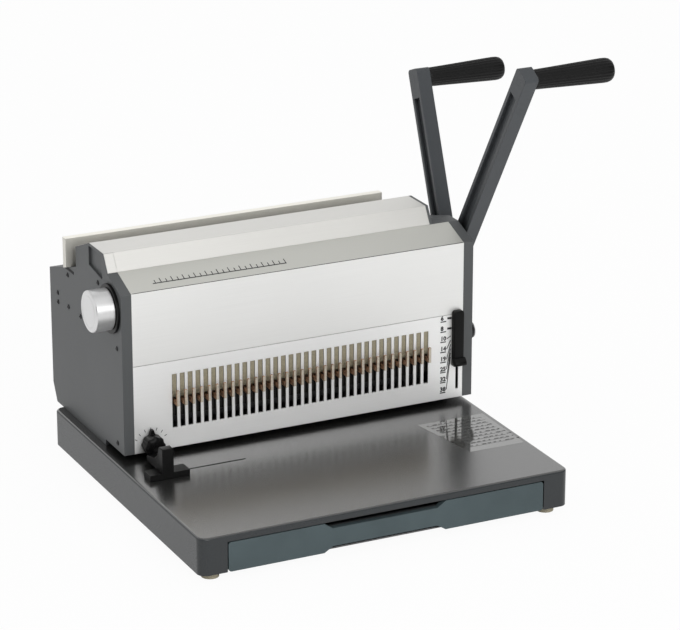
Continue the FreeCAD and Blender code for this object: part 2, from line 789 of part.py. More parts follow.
def lift_plates():
    """Upright plates that carry the hook comb, each with a slot for a crank pin."""
    body = new_body("lift_plates")
    neck = f"({LIFT_FRONT} + lift_sheet)"
    limb_end = f"({PIN_REST_Y} + limb_half)"
    lug_low = f"({BASE_TOP} + lug_up)"
    hole = "(post_side / 2 + fit)"
    edge = "(post_side / 2 + lug_wall)"
    for side in (-1, 1):
        start = f"body_shift + {side} * lift_spread - lift_sheet / 2"
        pad(body, "X", start, "lift_sheet", [
            (LIFT_FRONT, STRIP_LOW), (neck, STRIP_LOW), (neck, f"{PIN_REST_Z} - limb_half"),
            (limb_end, f"{PIN_REST_Z} - limb_half"), (limb_end, f"{PIN_REST_Z} + limb_half"),
            (LIFT_FRONT, f"{PIN_REST_Z} + limb_half")])
        half = "(crank_pin_radius + yoke_play)"
        pocket(body, "X", start, "lift_sheet",
               square(f"{OPENER_Y} - crank_radius - {half}", f"{PIN_REST_Y} + {half}",
                      f"{PIN_REST_Z} - {half}", f"{PIN_REST_Z} + {half}"))
        inner = f"body_shift + {side} * {LIFT_EDGE}"
        outer = f"body_shift + {side} * (post_spread + {edge})"
        left, right = (outer, inner) if side < 0 else (inner, outer)
        pad(body, "Z", lug_low, "lug_height",
            square(left, right, f"{POST_Y} - {edge}", f"{POST_Y} + {edge}"))
        pocket(body, "Z", lug_low, "lug_height", post_square(side, "post_spread", POST_Y, hole, hole))


def guide_posts():
    """Upright posts: the outer two guide the opener's carriage, the inner two the punch bars."""
    body = new_body("guide_posts")
    half = "post_side / 2"
    pad(body, "Z", STRIPPER_TOP, f"{PIN_REST_Z} - {STRIPPER_TOP}",
        *[post_square(side, "post_spread", POST_Y, half, half) for side in (-1, 1)])
    pad(body, "Z", STRIPPER_TOP, "pin_length + 2 * ram_bar_height",
        *[post_square(side, "ram_post_spread", PIN_Y, half, "(pin_side / 2 - fit)")
          for side in (-1, 1)])


def limb(foot, top, run, stations):
    """Outline of a leaning limb, from distances along its centre line and half widths."""
    lean = (f"(({top[0]} - {foot[0]}) / {run})", f"(({top[1]} - {foot[1]}) / {run})")
    edges = []
    for side in (-1, 1):
        edges.append([(f"{foot[0]} + {lean[0]} * ({reach}) + {side} * {lean[1]} * ({half})",
                       f"{foot[1]} + {lean[1]} * ({reach}) - {side} * {lean[0]} * ({half})")
                      for reach, half in stations])
    return edges[0] + edges[1][::-1]


def opener_cranks():
    """Two cranks on the opener's shaft, each with a pin in a lift plate's slot."""
    body = new_body("opener_cranks")
    web = limb((OPENER_Y, OPENER_Z), (PIN_REST_Y, PIN_REST_Z), "crank_radius", [
        ("-crank_hub", "crank_hub * crank_corner"), ("0", "crank_hub"),
        ("crank_radius", "crank_tip"), ("crank_radius + crank_tip", "crank_tip * crank_corner")])
    reach = "(crank_gap + lift_sheet + crank_pin_end)"
    for side in (-1, 1):
        face = f"(body_shift + {side} * (lift_spread - lift_sheet / 2 - crank_gap))"
        start = face if side < 0 else f"({face} - crank_sheet)"
        pad(body, "X", start, "crank_sheet", web)
        pad(body, "X", f"{face} - {reach}" if side < 0 else face, reach,
            (PIN_REST_Y, PIN_REST_Z, "crank_pin_radius"))
        pocket(body, "X", start, "crank_sheet", (OPENER_Y, OPENER_Z, SHAFT_BORE))


# --- punch: die, pins, bars, yokes and eccentrics ---------------------------------------------

BAR_LOW = f"({PIN_HEAD} - ram_bar_height)"
CAP_TOP = f"({PIN_HEAD} + ram_cap_height)"
CAP_HALF = "(ram_post_spread - post_side / 2 - running_gap)"
ECCENTRIC_REACH = "sqrt(eccentric_throw ^ 2 - (ram_travel / 2) ^ 2)"
ECCENTRIC_Y = f"({PUNCH_Y} - {ECCENTRIC_REACH})"
ECCENTRIC_Z = f"({PUNCH_Z} + ram_travel / 2)"
YOKE_WALL = "(shaft_radius - crank_gap)"


def pin_square(margin):
    """Outline of the first pin, or of a hole with a margin about it."""
    half = f"(pin_side / 2 + {margin})"
    return square(f"{ROW_LEFT} - {half}", f"{ROW_LEFT} + {half}",
                  f"{PIN_Y} - {half}", f"{PIN_Y} + {half}")


def pierce(body, start, length):
    """Cut the row of pin holes."""
    repeat_loops(body, [pocket(body, "Z", start, length, pin_square("fit"))])


def die_plate():
    """Lower die, let into the base's top from below and seated on its flange."""
    body = new_body("die_plate")
    bottom = f"({BASE_TOP} - die_thickness)"
    ledge = f"({PLATE_BOTTOM} - {bottom})"
    pad(body, "Z", bottom, ledge,
        square(f"{DIE_LEFT} - die_flange", f"{DIE_RIGHT} + die_flange",
               f"{DIE_FRONT} - die_flange", f"{DIE_BACK} + die_flange"))
    pad(body, "Z", PLATE_BOTTOM, "base_wall", square(DIE_LEFT, DIE_RIGHT, DIE_FRONT, DIE_BACK))
    pierce(body, bottom, "die_thickness")


def stripper_plate():
    """Plate above the throat that guides the pins and strips the paper off them."""
    body = new_body("stripper_plate")
    front = f"({PANEL} + stripper_front)"
    pad(body, "Z", THROAT_TOP, "stripper_height",
        square(LEFT, RIGHT, front, f"{front} + stripper_depth"))
    pierce(body, THROAT_TOP, "stripper_height")


def punch_pins():
    """The row of square pins."""
    body = new_body("punch_pins")
    repeat_loops(body, [pad(body, "Z", PIN_TIP, "pin_length", pin_square("0"))])


def punch_bars():
    """Front and back bar that clamp the pins between them and slide on the inner posts."""
    edges = [(f"{PIN_Y} - ram_bar_depth / 2", f"{PIN_Y} - pin_side / 2"),
             (f"{PIN_Y} + pin_side / 2", f"{PIN_Y} + ram_bar_depth / 2")]
    pad(new_body("punch_bars"), "Z", BAR_LOW, "ram_bar_height",
        *[square("body_shift - ram_bar_width / 2", "body_shift + ram_bar_width / 2", low, high)
          for low, high in edges])


def pin_cap():
    """Strip over the pin heads, which takes their thrust."""
    keep(block("pin_cap", (f"body_shift - {CAP_HALF}", f"2 * {CAP_HALF}"),
               (f"{PIN_Y} - ram_bar_depth / 2", "ram_bar_depth"), (PIN_HEAD, "ram_cap_height")))


def punch_yokes():
    """Two yokes on the punch bar, each with a window round an eccentric."""
    body = new_body("punch_yokes")
    reach = "(eccentric_radius + yoke_play)"
    front = f"({PUNCH_Y} - eccentric_throw - {reach})"
    back = f"({ECCENTRIC_Y} + {reach})"
    for side in (-1, 1):
        start = f"body_shift + {side} * ram_spread - ram_yoke_sheet / 2"
        pad(body, "X", start, "ram_yoke_sheet",
            square(f"{front} - {YOKE_WALL}", f"{back} + {YOKE_WALL}",
                   CAP_TOP, f"{ECCENTRIC_Z} + {reach} + {YOKE_WALL}"))
        pocket(body, "X", start, "ram_yoke_sheet",
               square(front, back, f"{ECCENTRIC_Z} - {reach}", f"{ECCENTRIC_Z} + {reach}"))


def punch_eccentrics():
    """Two eccentric discs on the punch shaft."""
    body = new_body("punch_eccentrics")
    for side in (-1, 1):
        start = f"body_shift + {side} * ram_spread - ram_yoke_sheet / 2"
        pad(body, "X", start, "ram_yoke_sheet", (ECCENTRIC_Y, ECCENTRIC_Z, "eccentric_radius"))
        pocket(body, "X", start, "ram_yoke_sheet", (PUNCH_Y, PUNCH_Z, SHAFT_BORE))


# --- handles ----------------------------------------------------------------------------------

HALF = "(arm_width / 2)"
CHANNEL = "(arm_width / 2 - arm_rim)"
LEAN = "(front_grip_height - bend_height)"
FRONT_RUN = f"sqrt(front_grip_forward ^ 2 + {LEAN} ^ 2)"
REAR_RUN = "sqrt(rear_grip_back ^ 2 + rear_grip_height ^ 2)"
MITRE = f"(({FRONT_RUN} - {LEAN}) / front_grip_forward)"
FRONT_GRIP = (f"({PUNCH_Y} - front_grip_forward)", f"({PUNCH_Z} + front_grip_height)")
REAR_GRIP = (f"({OPENER_Y} + rear_grip_back)", f"({OPENER_Z} + rear_grip_height)")


def handle_shaft(label, centre):
    """Shaft across the body, riveted over outside its arm."""
    body = new_body(label)
    start = f"{LEFT} - shaft_end + running_gap"
    turn(body, centre, [
        (start, "0"), (start, "shaft_radius"), (ARM_END, "shaft_radius"),
        (ARM_END, "shaft_head_radius"), (f"{ARM_END} + shaft_head", "shaft_head_radius"),
        (f"{ARM_END} + shaft_head", "0")])


def finish_arm(body, pivot, grip):
    """Round the arm's tip, and bore it for its shaft and its grip's spindle."""
    heights = sorted(edge.CenterOfMass.z for edge in body.Shape.Edges if runs_along(edge, X_WAY))
    tip = heights[-2] - 0.01
    round_edges(body, "arm_rim", lambda edge: runs_along(edge, X_WAY)
                and edge.CenterOfMass.z > tip)
    pad(body, "X", ARM_START, "arm_thickness", (*pivot, "arm_hub"))
    pocket(body, "X", ARM_START, "arm_thickness", (*pivot, SHAFT_BORE),
           (*grip, "spindle_radius + fit"))


def front_arm():
    """Long cranked arm of the punch handle, channelled on its inner face."""
    body = new_body("front_arm")
    pivot = (PUNCH_Y, PUNCH_Z)
    bend = (PUNCH_Y, f"({PUNCH_Z} + bend_height)")
    upper = limb(bend, FRONT_GRIP, FRONT_RUN, [("0", HALF), (f"{FRONT_RUN} + {HALF}", HALF)])
    pad(body, "X", ARM_START, "arm_thickness", [
        (f"{PUNCH_Y} - {HALF}", PUNCH_Z), (f"{PUNCH_Y} + {HALF}", PUNCH_Z),
        (f"{PUNCH_Y} + {HALF}", f"{bend[1]} + {HALF} * {MITRE}"), upper[2], upper[1],
        (f"{PUNCH_Y} - {HALF}", f"{bend[1]} - {HALF} * {MITRE}")])
    finish_arm(body, pivot, FRONT_GRIP)
    pocket(body, "X", ARM_START, "arm_channel",
           limb(bend, FRONT_GRIP, FRONT_RUN,
                [("bend_web", CHANNEL), (f"{FRONT_RUN} - arm_width", CHANNEL)]),
           square(f"{PUNCH_Y} - {CHANNEL}", f"{PUNCH_Y} + {CHANNEL}",
                  f"{PUNCH_Z} + arm_width", f"{bend[1]} - arm_rim"))


def rear_arm():
    """Short straight arm of the opener's handle, channelled on its inner face."""
    body = new_body("rear_arm")
    pivot = (OPENER_Y, OPENER_Z)
    pad(body, "X", ARM_START, "arm_thickness",
        limb(pivot, REAR_GRIP, REAR_RUN, [("0", HALF), (f"{REAR_RUN} + {HALF}", HALF)]))
    finish_arm(body, pivot, REAR_GRIP)
    pocket(body, "X", ARM_START, "arm_channel",
           limb(pivot, REAR_GRIP, REAR_RUN,
                [("arm_width", CHANNEL), (f"{REAR_RUN} - arm_width", CHANNEL)]))


def grip_spindle(label, centre):
    """Rod from the arm into the grip."""
    keep(rod(label, "X", (ARM_START, *centre), "arm_thickness + spindle_reach", "spindle_radius"))


def grip(label, centre):
    """Round grip, bored for its spindle."""
    body = new_body(label)
    pad(body, "X", ARM_END, "grip_length", (*centre, "grip_radius"))
    pocket(body, "X", ARM_END, "spindle_reach + running_gap", (*centre, "spindle_radius + fit"))


# --- margin knob and stop, dial, slider and edge guide ----------------------------------------

DIAL_X = "(body_shift - dial_x)"
DIAL_Z = f"({BASE_TOP} + dial_height)"
SLIDER_X = "(body_shift + slider_x)"
SLIDER_BOTTOM = f"({BASE_TOP} + slider_bottom)"
KNOB_BACK = f"({CHEEK_LEFT} - knob_collar)"
CAM_LEFT = f"({LEFT} + margin_cam_gap)"
CAM_Y = f"({MARGIN_Y} + margin_throw)"
STOP_FRONT = f"({PANEL} + stop_setback)"
STOP_BOTTOM = f"({BASE_TOP} + running_gap)"
STOP_TOP = f"({THROAT_TOP} - running_gap)"


def margin_collar():
    """Flat ring on the left cheek round the margin knob's shaft."""
    body = new_body("margin_collar")
    pad(body, "X", f"{CHEEK_LEFT} - knob_collar + running_gap", "knob_collar - running_gap",
        (MARGIN_Y, MARGIN_Z, "knob_collar_radius"))
    pocket(body, "X", f"{CHEEK_LEFT} - knob_collar", "knob_collar",
           (MARGIN_Y, MARGIN_Z, "margin_shaft_radius + fit"))


def margin_knob():
    """Round knob on the margin shaft."""
    pad(new_body("margin_knob"), "X", f"{KNOB_BACK} - knob_length", "knob_length",
        (MARGIN_Y, MARGIN_Z, "knob_radius"))


def margin_cam():
    """Short shaft through the left cheek, with the eccentric disc that moves the stop."""
    body = new_body("margin_cam")
    pad(body, "X", KNOB_BACK, f"{CAM_LEFT} - {KNOB_BACK}",
        (MARGIN_Y, MARGIN_Z, "margin_shaft_radius"))
    pad(body, "X", CAM_LEFT, "margin_plate", (CAM_Y, MARGIN_Z, "margin_cam_radius"))


def margin_plate():
    """Plate inside the left cheek that carries the cam's push down to the stop bar."""
    body = new_body("margin_plate")
    reach_y = "(margin_cam_radius + margin_play)"
    reach_z = "(margin_cam_radius + margin_throw + margin_play)"
    front = f"({CAM_Y} - {reach_y} - margin_wall)"
    low = f"({MARGIN_Z} - {reach_z} - margin_wall)"
    high = f"({MARGIN_Z} + {reach_z} + margin_wall)"
    limb_front = f"({PUNCH_Y} + shaft_radius + margin_travel + margin_clear)"
    back = f"({limb_front} + margin_limb)"
    pad(body, "X", CAM_LEFT, "margin_plate", [
        (STOP_FRONT, STOP_BOTTOM), (back, STOP_BOTTOM), (back, high), (front, high), (front, low),
        (limb_front, low), (limb_front, STOP_TOP), (STOP_FRONT, STOP_TOP)])
    pocket(body, "X", CAM_LEFT, "margin_plate",
           square(f"{CAM_Y} - {reach_y}", f"{CAM_Y} + {reach_y}",
                  f"{MARGIN_Z} - {reach_z}", f"{MARGIN_Z} + {reach_z}"))


def margin_stop_bar():
    """Bar across the throat that the paper's edge comes up against."""
    left = f"{CAM_LEFT} + margin_plate"
    keep(block("margin_stop_bar", (left, f"body_shift + ram_bar_width / 2 - {left}"),
               (STOP_FRONT, "stop_depth"), (STOP_BOTTOM, f"{STOP_TOP} - {STOP_BOTTOM}")))


def align_dial():
    """Small knob on the front panel, with a pointer and a raised bar to turn it by."""
    body = new_body("align_dial")
    front = f"({PANEL} - running_gap - dial_length)"
    middle = f"({front} + dial_length / 2)"
    pad(body, "Y", front, "dial_length", (DIAL_X, DIAL_Z, "dial_radius"))
    pad(body, "Y", middle, "dial_length / 2", [
        (f"{DIAL_X} - pointer_root / 2", DIAL_Z), (f"{DIAL_X} + pointer_root / 2", DIAL_Z),
        (f"{DIAL_X} + pointer_tip / 2", f"{DIAL_Z} + pointer_reach"),
        (f"{DIAL_X} - pointer_tip / 2", f"{DIAL_Z} + pointer_reach")])
    pad(body, "Y", f"{front} - dial_bar_rise", f"{middle} - {front} + dial_bar_rise",
        square(f"{DIAL_X} - dial_bar / 2", f"{DIAL_X} + dial_bar / 2",
               f"{DIAL_Z} - dial_bar_length / 2", f"{DIAL_Z} + dial_bar_length / 2"))


def dial_shaft():
    """Shaft of the dial through the panel."""
    keep(rod("dial_shaft", "Y", (DIAL_X, f"{PANEL} - running_gap", DIAL_Z),
             "dial_shaft_length", "dial_shaft_radius"))


def size_slider():
    """Bar on the front panel that limits how far the hooks open a comb."""
    body = new_body("size_slider")
    front = f"{PANEL} - running_gap - slider_thickness"
    pad(body, "Y", front, "slider_thickness",
        square(f"{SLIDER_X} - slider_width / 2", f"{SLIDER_X} + slider_width / 2",
               SLIDER_BOTTOM, f"{SLIDER_BOTTOM} + slider_height"))
    face = body.Shape.BoundBox.YMin
    round_edges(body, "slider_edge", lambda edge: abs(edge.CenterOfMass.y - face) < 0.01)


def slider_knob():
    """Finger piece below the slider's bar: a cross bar with an upright rib."""
    body = new_body("slider_knob")
    front = f"({PANEL} - running_gap - slider_thickness)"
    pad(body, "Y", f"{front} - slider_knob", "slider_knob + slider_thickness",
        square(f"{SLIDER_X} - slider_cross / 2", f"{SLIDER_X} + slider_cross / 2",
               f"{SLIDER_BOTTOM} - slider_cross_height", SLIDER_BOTTOM))
    pad(body, "Y", f"{front} - slider_knob", "slider_knob",
        square(f"{SLIDER_X} - slider_rib / 2", f"{SLIDER_X} + slider_rib / 2",
               f"{SLIDER_BOTTOM} - slider_knob", f"{SLIDER_BOTTOM} + slider_knob"))


def slider_nut():
    """Stem through the panel's slot, with a nut behind."""
    body = new_body("slider_nut")
    stem = "(slider_slot / 2 - running_gap)"
    high = f"{SLIDER_BOTTOM} + slider_nut_height"
    pad(body, "Y", f"{PANEL} - running_gap", "sheet + 2 * running_gap",
        square(f"{SLIDER_X} - {stem}", f"{SLIDER_X} + {stem}", SLIDER_BOTTOM, high))
    pad(body, "Y", f"{PANEL} + sheet + running_gap", "slider_nut_sheet",
        square(f"{SLIDER_X} - slider_nut_width / 2", f"{SLIDER_X} + slider_nut_width / 2",
               SLIDER_BOTTOM, high))


def guide_foot():
    """Foot of the edge guide, which slides on the base beside its slot."""
    body = new_body("guide_foot")
    pad(body, "Z", f"{BASE_TOP} + running_gap", "guide_foot_height",
        square("guide_x - guide_foot_width / 2", "guide_x + guide_foot_width / 2",
               f"{GUIDE_Y} - guide_lip", f"{GUIDE_Y} + guide_slot_width / 2"))
    pad(body, "Z", f"{PLATE_BOTTOM} - running_gap", "base_wall + 2 * running_gap",
        square(f"guide_x - {STEM_HALF}", f"guide_x + {STEM_HALF}",
               f"{GUIDE_Y} - guide_slot_width / 2 + running_gap",
               f"{GUIDE_Y} + guide_slot_width / 2 - running_gap"))


def guide_fence():
    """Upright wall of the edge guide that squares the paper's side."""
    keep(block("guide_fence", ("guide_x + fence_shift - fence_width / 2", "fence_width"),
               (f"{GUIDE_Y} - guide_lip", "fence_depth"),
               (f"{BASE_TOP} + running_gap + guide_foot_height",
                "fence_height - guide_foot_height")))


def guide_clamp():
    """Nut below the base's top that keeps the edge guide in its slot."""
    keep(block("guide_clamp", (f"guide_x - {STEM_HALF}", f"2 * {STEM_HALF}"),
               (f"{GUIDE_Y} - guide_foot_height", "2 * guide_foot_height"),
               (f"{PLATE_BOTTOM} - running_gap - guide_foot_height", "guide_foot_height")))


# --- the whole machine ------------------------------------------------------------------------


def check_and_write():
    """Stop on any failed object, then write each sub-part to a file of its own."""
    document.recompute()
    for thing in document.Objects:
        if {"Invalid", "Error"} & set(thing.State):
            raise ValueError(f"{thing.Label} failed: {thing.State}")
    for piece in pieces:
        if piece.Shape.isNull() or not piece.Shape.isValid():
            raise ValueError(f"{piece.Label} has no valid shape")
    os.makedirs("parts", exist_ok=True)
    for piece in pieces:
        piece.Shape.exportStep(f"parts/{piece.Label}.step")


def main():
    fill_sheet()
    for build in (base_pan, base_floor_plate, foot_pads, drawer_runners, drawer_tray, drawer_fascia,
                  left_cheek, right_cheek, upper_front_panel, slotted_front_panel, top_hood,
                  hood_end_cap, rear_cover, rear_bar, tie_rods, comb_fingers, comb_hooks,
                  lift_plates, guide_posts, opener_cranks, die_plate, stripper_plate, punch_pins,
                  punch_bars, pin_cap, punch_yokes, punch_eccentrics, front_arm, rear_arm,
                  margin_collar, margin_knob, margin_cam, margin_plate, margin_stop_bar,
                  align_dial, dial_shaft, size_slider, slider_knob, slider_nut, guide_foot,
                  guide_fence, guide_clamp):
        build()
    for name, pivot, centre in (("punch", (PUNCH_Y, PUNCH_Z), FRONT_GRIP),
                                ("opener", (OPENER_Y, OPENER_Z), REAR_GRIP)):
        handle_shaft(f"{name}_shaft", pivot)
        grip_spindle(f"{name}_spindle", centre)
        grip(f"{name}_grip", centre)
    check_and_write()


main()
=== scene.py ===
import math

import bmesh
import bpy
from bpy.props import FloatProperty, FloatVectorProperty, IntProperty, PointerProperty
from mathutils import Matrix, Vector


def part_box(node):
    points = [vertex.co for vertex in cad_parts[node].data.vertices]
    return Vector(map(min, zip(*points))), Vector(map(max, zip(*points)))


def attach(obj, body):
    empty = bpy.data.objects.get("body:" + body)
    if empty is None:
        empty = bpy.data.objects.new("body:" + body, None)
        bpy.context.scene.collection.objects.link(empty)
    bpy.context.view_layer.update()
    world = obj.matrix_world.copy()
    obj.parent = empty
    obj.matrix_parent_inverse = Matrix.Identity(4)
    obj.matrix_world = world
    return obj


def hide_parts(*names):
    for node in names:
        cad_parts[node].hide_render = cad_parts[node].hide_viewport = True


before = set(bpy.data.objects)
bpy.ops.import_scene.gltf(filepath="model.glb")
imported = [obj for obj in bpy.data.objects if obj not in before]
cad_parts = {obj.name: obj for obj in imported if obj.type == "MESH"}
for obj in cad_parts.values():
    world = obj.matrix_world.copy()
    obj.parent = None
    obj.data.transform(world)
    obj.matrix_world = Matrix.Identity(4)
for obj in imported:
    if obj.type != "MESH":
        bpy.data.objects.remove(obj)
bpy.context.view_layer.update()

bl_info = {
    "name": "Comb binding machine",
    "version": (1, 0, 0),
    "blender": (4, 5, 0),
    "location": "View3D > Sidebar > Binder",
    "description": "Finishes and small parts of a manual comb binding machine",
    "category": "Object",
}

MM = 0.001
TOUCH = 1e-6
RIGHT_WAY = Vector((1, 0, 0))
LEFT_WAY = Vector((-1, 0, 0))
FRONT_WAY = Vector((0, -1, 0))
UP_WAY = Vector((0, 0, 1))


# --- places on the machine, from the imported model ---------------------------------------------


def middle(node):
    """Middle of a node's box."""
    low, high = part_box(node)
    return (low + high) / 2


PANEL_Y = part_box("slotted_front_panel")[0].y
CHEEK_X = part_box("left_cheek")[0].x
CHEEK_RIGHT_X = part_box("right_cheek")[1].x
BASE_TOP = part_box("base_pan")[1].z
HOOD_LEFT = CHEEK_X + 0.0008
HOOD_LINE = [(0.055, 0.2315), (0.0653, 0.2487), (0.103, 0.2487), (0.139, 0.2343)]
SHELF_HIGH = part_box("upper_front_panel")[1]
SHELF_FOLD = 0.219
SHELF_SLOPE = Vector((0, SHELF_HIGH.y - PANEL_Y, SHELF_HIGH.z - SHELF_FOLD)).normalized()
SHELF_NORMAL = RIGHT_WAY.cross(SHELF_SLOPE)
SLIDER_FOOT = 0.0935
FOOT_RADIUS = 0.0087
# Painted shade on the slots' cut edges: full below the first height, gone above the second.
SLOT_SHADED_BELOW, SLOT_UNSHADED_ABOVE = 0.082, 0.094    # heights between which the slots' cut edges lighten

# Screw heads on each cheek, in millimetres back and up.
LEFT_SCREWS = [(192.5, 169), (192.5, 159), (163, 163), (130, 163), (80, 214.5), (33.6, 160.6),
               (37.5, 60), (163, 197)]
RIGHT_SCREWS = [(180.6, 164), (180.6, 80), (36, 200), (36, 62), (150, 200)]

# A grip's outline, in millimetres along it and out from its axis, and where its flutes run.
GRIP_LINE = [(0, 0), (0, 9.3), (0.6, 9.8), (3, 10.0), (20, 10.5), (40, 11.2), (60, 11.9),
             (72, 12.3), (79, 12.5), (83, 12.3), (86, 11.5), (88, 10.0), (89.3, 7.6),
             (89.9, 4.2), (90, 0)]
FLUTE_START, FLUTE_END, FLUTE_FADE = 0.004, 0.0865, 0.006

LIP_THICK = 0.0002
TRIM_THICK = 0.0003
INK_THICK = 0.00006
WASHER_GAP = 0.0003
NUMERAL_WEIGHT = 0.05
COMB_SIZES = ("6", "8", "10", "14", "19", "25", "32", "38")

STEEL_NODES = ("base_floor_plate", "drawer_runners", "tie_rods", "guide_posts", "lift_plates",
               "opener_cranks", "die_plate", "stripper_plate", "punch_pins", "punch_bars",
               "pin_cap", "punch_yokes", "punch_eccentrics", "punch_shaft", "opener_shaft",
               "margin_cam", "margin_plate", "margin_stop_bar", "dial_shaft", "slider_nut",
               "guide_clamp")


# --- colours and sizes ------------------------------------------------------------------------

# Linear values of the plain dark parts that need no choice. The first two are painted shade on the
# hooks and fingers deep in the slots; the third is for the dark line at the shelf's fold and a
# painted shadow.
HOOK_PAINTED_SHADE = (0.008, 0.007, 0.006)
FINGER_PAINTED_SHADE = (0.006, 0.006, 0.006)
DARK_LINE_AND_SHADOW_BLACK = (0.004, 0.004, 0.004)
SCREW_BLACK = (0.02, 0.02, 0.021)
PIVOT_STEEL = (0.3, 0.3, 0.31)


def tone(red, green, blue):
    """Linear colour from screen values of 0 to 255."""
    def channel(value):
        share = value / 255
        return share / 12.92 if share <= 0.04045 else ((share + 0.055) / 1.055) ** 2.4
    return (channel(red), channel(green), channel(blue))


def colour(name, description, screen):
    """A colour of the panel, from screen values."""
    return FloatVectorProperty(name=name, description=description, default=tone(*screen),
                               subtype="COLOR", size=3, min=0, max=1)


def length(name, description, millimetres):
    """A length of the panel, from millimetres."""
    return FloatProperty(name=name, description=description, default=millimetres * MM,
                         unit="LENGTH", min=0, precision=5)


class BinderColours(bpy.types.PropertyGroup):
    """Colours of the machine's finishes."""
    cheeks: colour("Cheeks", "Powder coat of the side cheeks and rear cover", (84, 86, 87))
    arms: colour("Arms", "Powder coat of the two handle arms", (70, 73, 76))
    # Painted light: the base's top and sides are one coat, given two colours for how light falls
    # on each.
    base: colour("Base top", "Satin coat of the base's top", (27, 27, 26))
    base_side: colour("Base side", "Satin coat of the base's sides", (57, 60, 62))
    silver: colour("Silver sheet", "Brushed and anodised front and hood", (243, 243, 241))
    # Painted light: the upward faces of the upper front panel get this tone instead of the silver.
    shelf: colour("Shelf", "Anodised shelf above the front", (206, 206, 200))
    hood: colour("Hood", "Anodised hood", (222, 221, 217))
    rear_bar: colour("Rear bar", "Anodised bar behind the hood", (222, 220, 212))
    slot_edge: colour("Slot edge", "Cut edge of each slot in the front panel", (222, 218, 206))
    steel: colour("Steel", "Ground steel of the works", (168, 168, 170))
    bronze: colour("Bronze", "Sides of the comb hooks and fingers", (176, 136, 104))
    lip: colour("Hook lip", "Bare front of the comb hooks", (220, 209, 192))
    finger: colour("Fingers", "Fixed fingers behind the hooks", (170, 162, 138))
    alloy: colour("Turned alloy", "Margin knob", (222, 222, 222))
    plastic: colour("Black plastic", "Slider, dial, edge guide and collars", (9, 9, 9))
    fascia: colour("Fascia", "Drawer front", (74, 86, 89))
    tray: colour("Tray", "Chip tray", (58, 60, 61))
    grip: colour("Grip", "Fluted handle grips", (6, 6, 6))
    pads: colour("Foot pads", "Soft feet", (170, 163, 142))
    ink: colour("Panel ink", "Scales printed on the silver sheet", (20, 20, 21))
    film: colour("Chart film", "Clear film that carries the chart on the base", (80, 80, 78))


class BinderSizes(bpy.types.PropertyGroup):
    """Sizes of the small parts that are made here."""
    flutes: IntProperty(name="Flutes", description="Flutes round each grip", default=22, min=6)
    flute_depth: length("Flute depth", "Depth of a grip's flutes", 0.55)
    knob_bevel: length("Knob bevel", "Bevel round the margin knob's face", 1.3)
    collar_height: length("Collar height", "Height of the dark collar on each foot", 3.2)
    screw_radius: length("Screw radius", "Head radius of the cheek screws", 2.6)
    edge_round: length("Edge rounding", "Rounding that the light sees on sheet edges", 0.7)


# --- shader maths -----------------------------------------------------------------------------


class Wire:
    """A node's output that can be used in Python expressions."""

    def __init__(self, finish, socket):
        self.finish = finish
        self.socket = socket

    def join(self, operation, first, second):
        return self.finish.node("ShaderNodeMath", {"operation": operation},
                                {0: first, 1: second})

    def __add__(self, other):
        return self.join("ADD", self, other)

    __radd__ = __add__

    def __sub__(self, other):
        return self.join("SUBTRACT", self, other)

    def __rsub__(self, other):
        return self.join("SUBTRACT", other, self)

    def __mul__(self, other):
        return self.join("MULTIPLY", self, other)

    __rmul__ = __mul__

    def __gt__(self, other):
        return self.join("GREATER_THAN", self, other)

    def __lt__(self, other):
        return self.join("LESS_THAN", self, other)

    def __abs__(self):
        return self.finish.node("ShaderNodeMath", {"operation": "ABSOLUTE"}, {0: self})


class Tree:
    """Nodes of a material or of the world, which come from node()."""

    def __init__(self, owner):
        owner.use_nodes = True
        self.tree = owner.node_tree
        self.tree.nodes.clear()

    def feed(self, socket, value):
        if isinstance(value, Wire):
            self.tree.links.new(value.socket, socket)
        else:
            socket.default_value = value

    def node(self, kind, settings=None, sockets=None, output=0):
        """Any node, from its settings and the values or links of its sockets."""
        made = self.tree.nodes.new(kind)
        for name, value in (settings or {}).items():
            setattr(made, name, value)
        for key, value in (sockets or {}).items():
            self.feed(made.inputs[key], value)
        return Wire(self, made.outputs[output])

    def span(self, value, start, end, low=0, high=1):
        """Smooth step of a value from one level to another."""
        return self.node("ShaderNodeMapRange", {"interpolation_type": "SMOOTHSTEP"},
                         {0: value, 1: start, 2: end, 3: low, 4: high})

    def seen_by(self, *kinds):
        """1 for rays of the given kinds."""
        seen = self.node("ShaderNodeLightPath", output=kinds[0])
        for kind in kinds[1:]:
            seen = self.node("ShaderNodeMath", {"operation": "MAXIMUM"},
                             {0: seen, 1: self.node("ShaderNodeLightPath", output=kind)})
        return seen


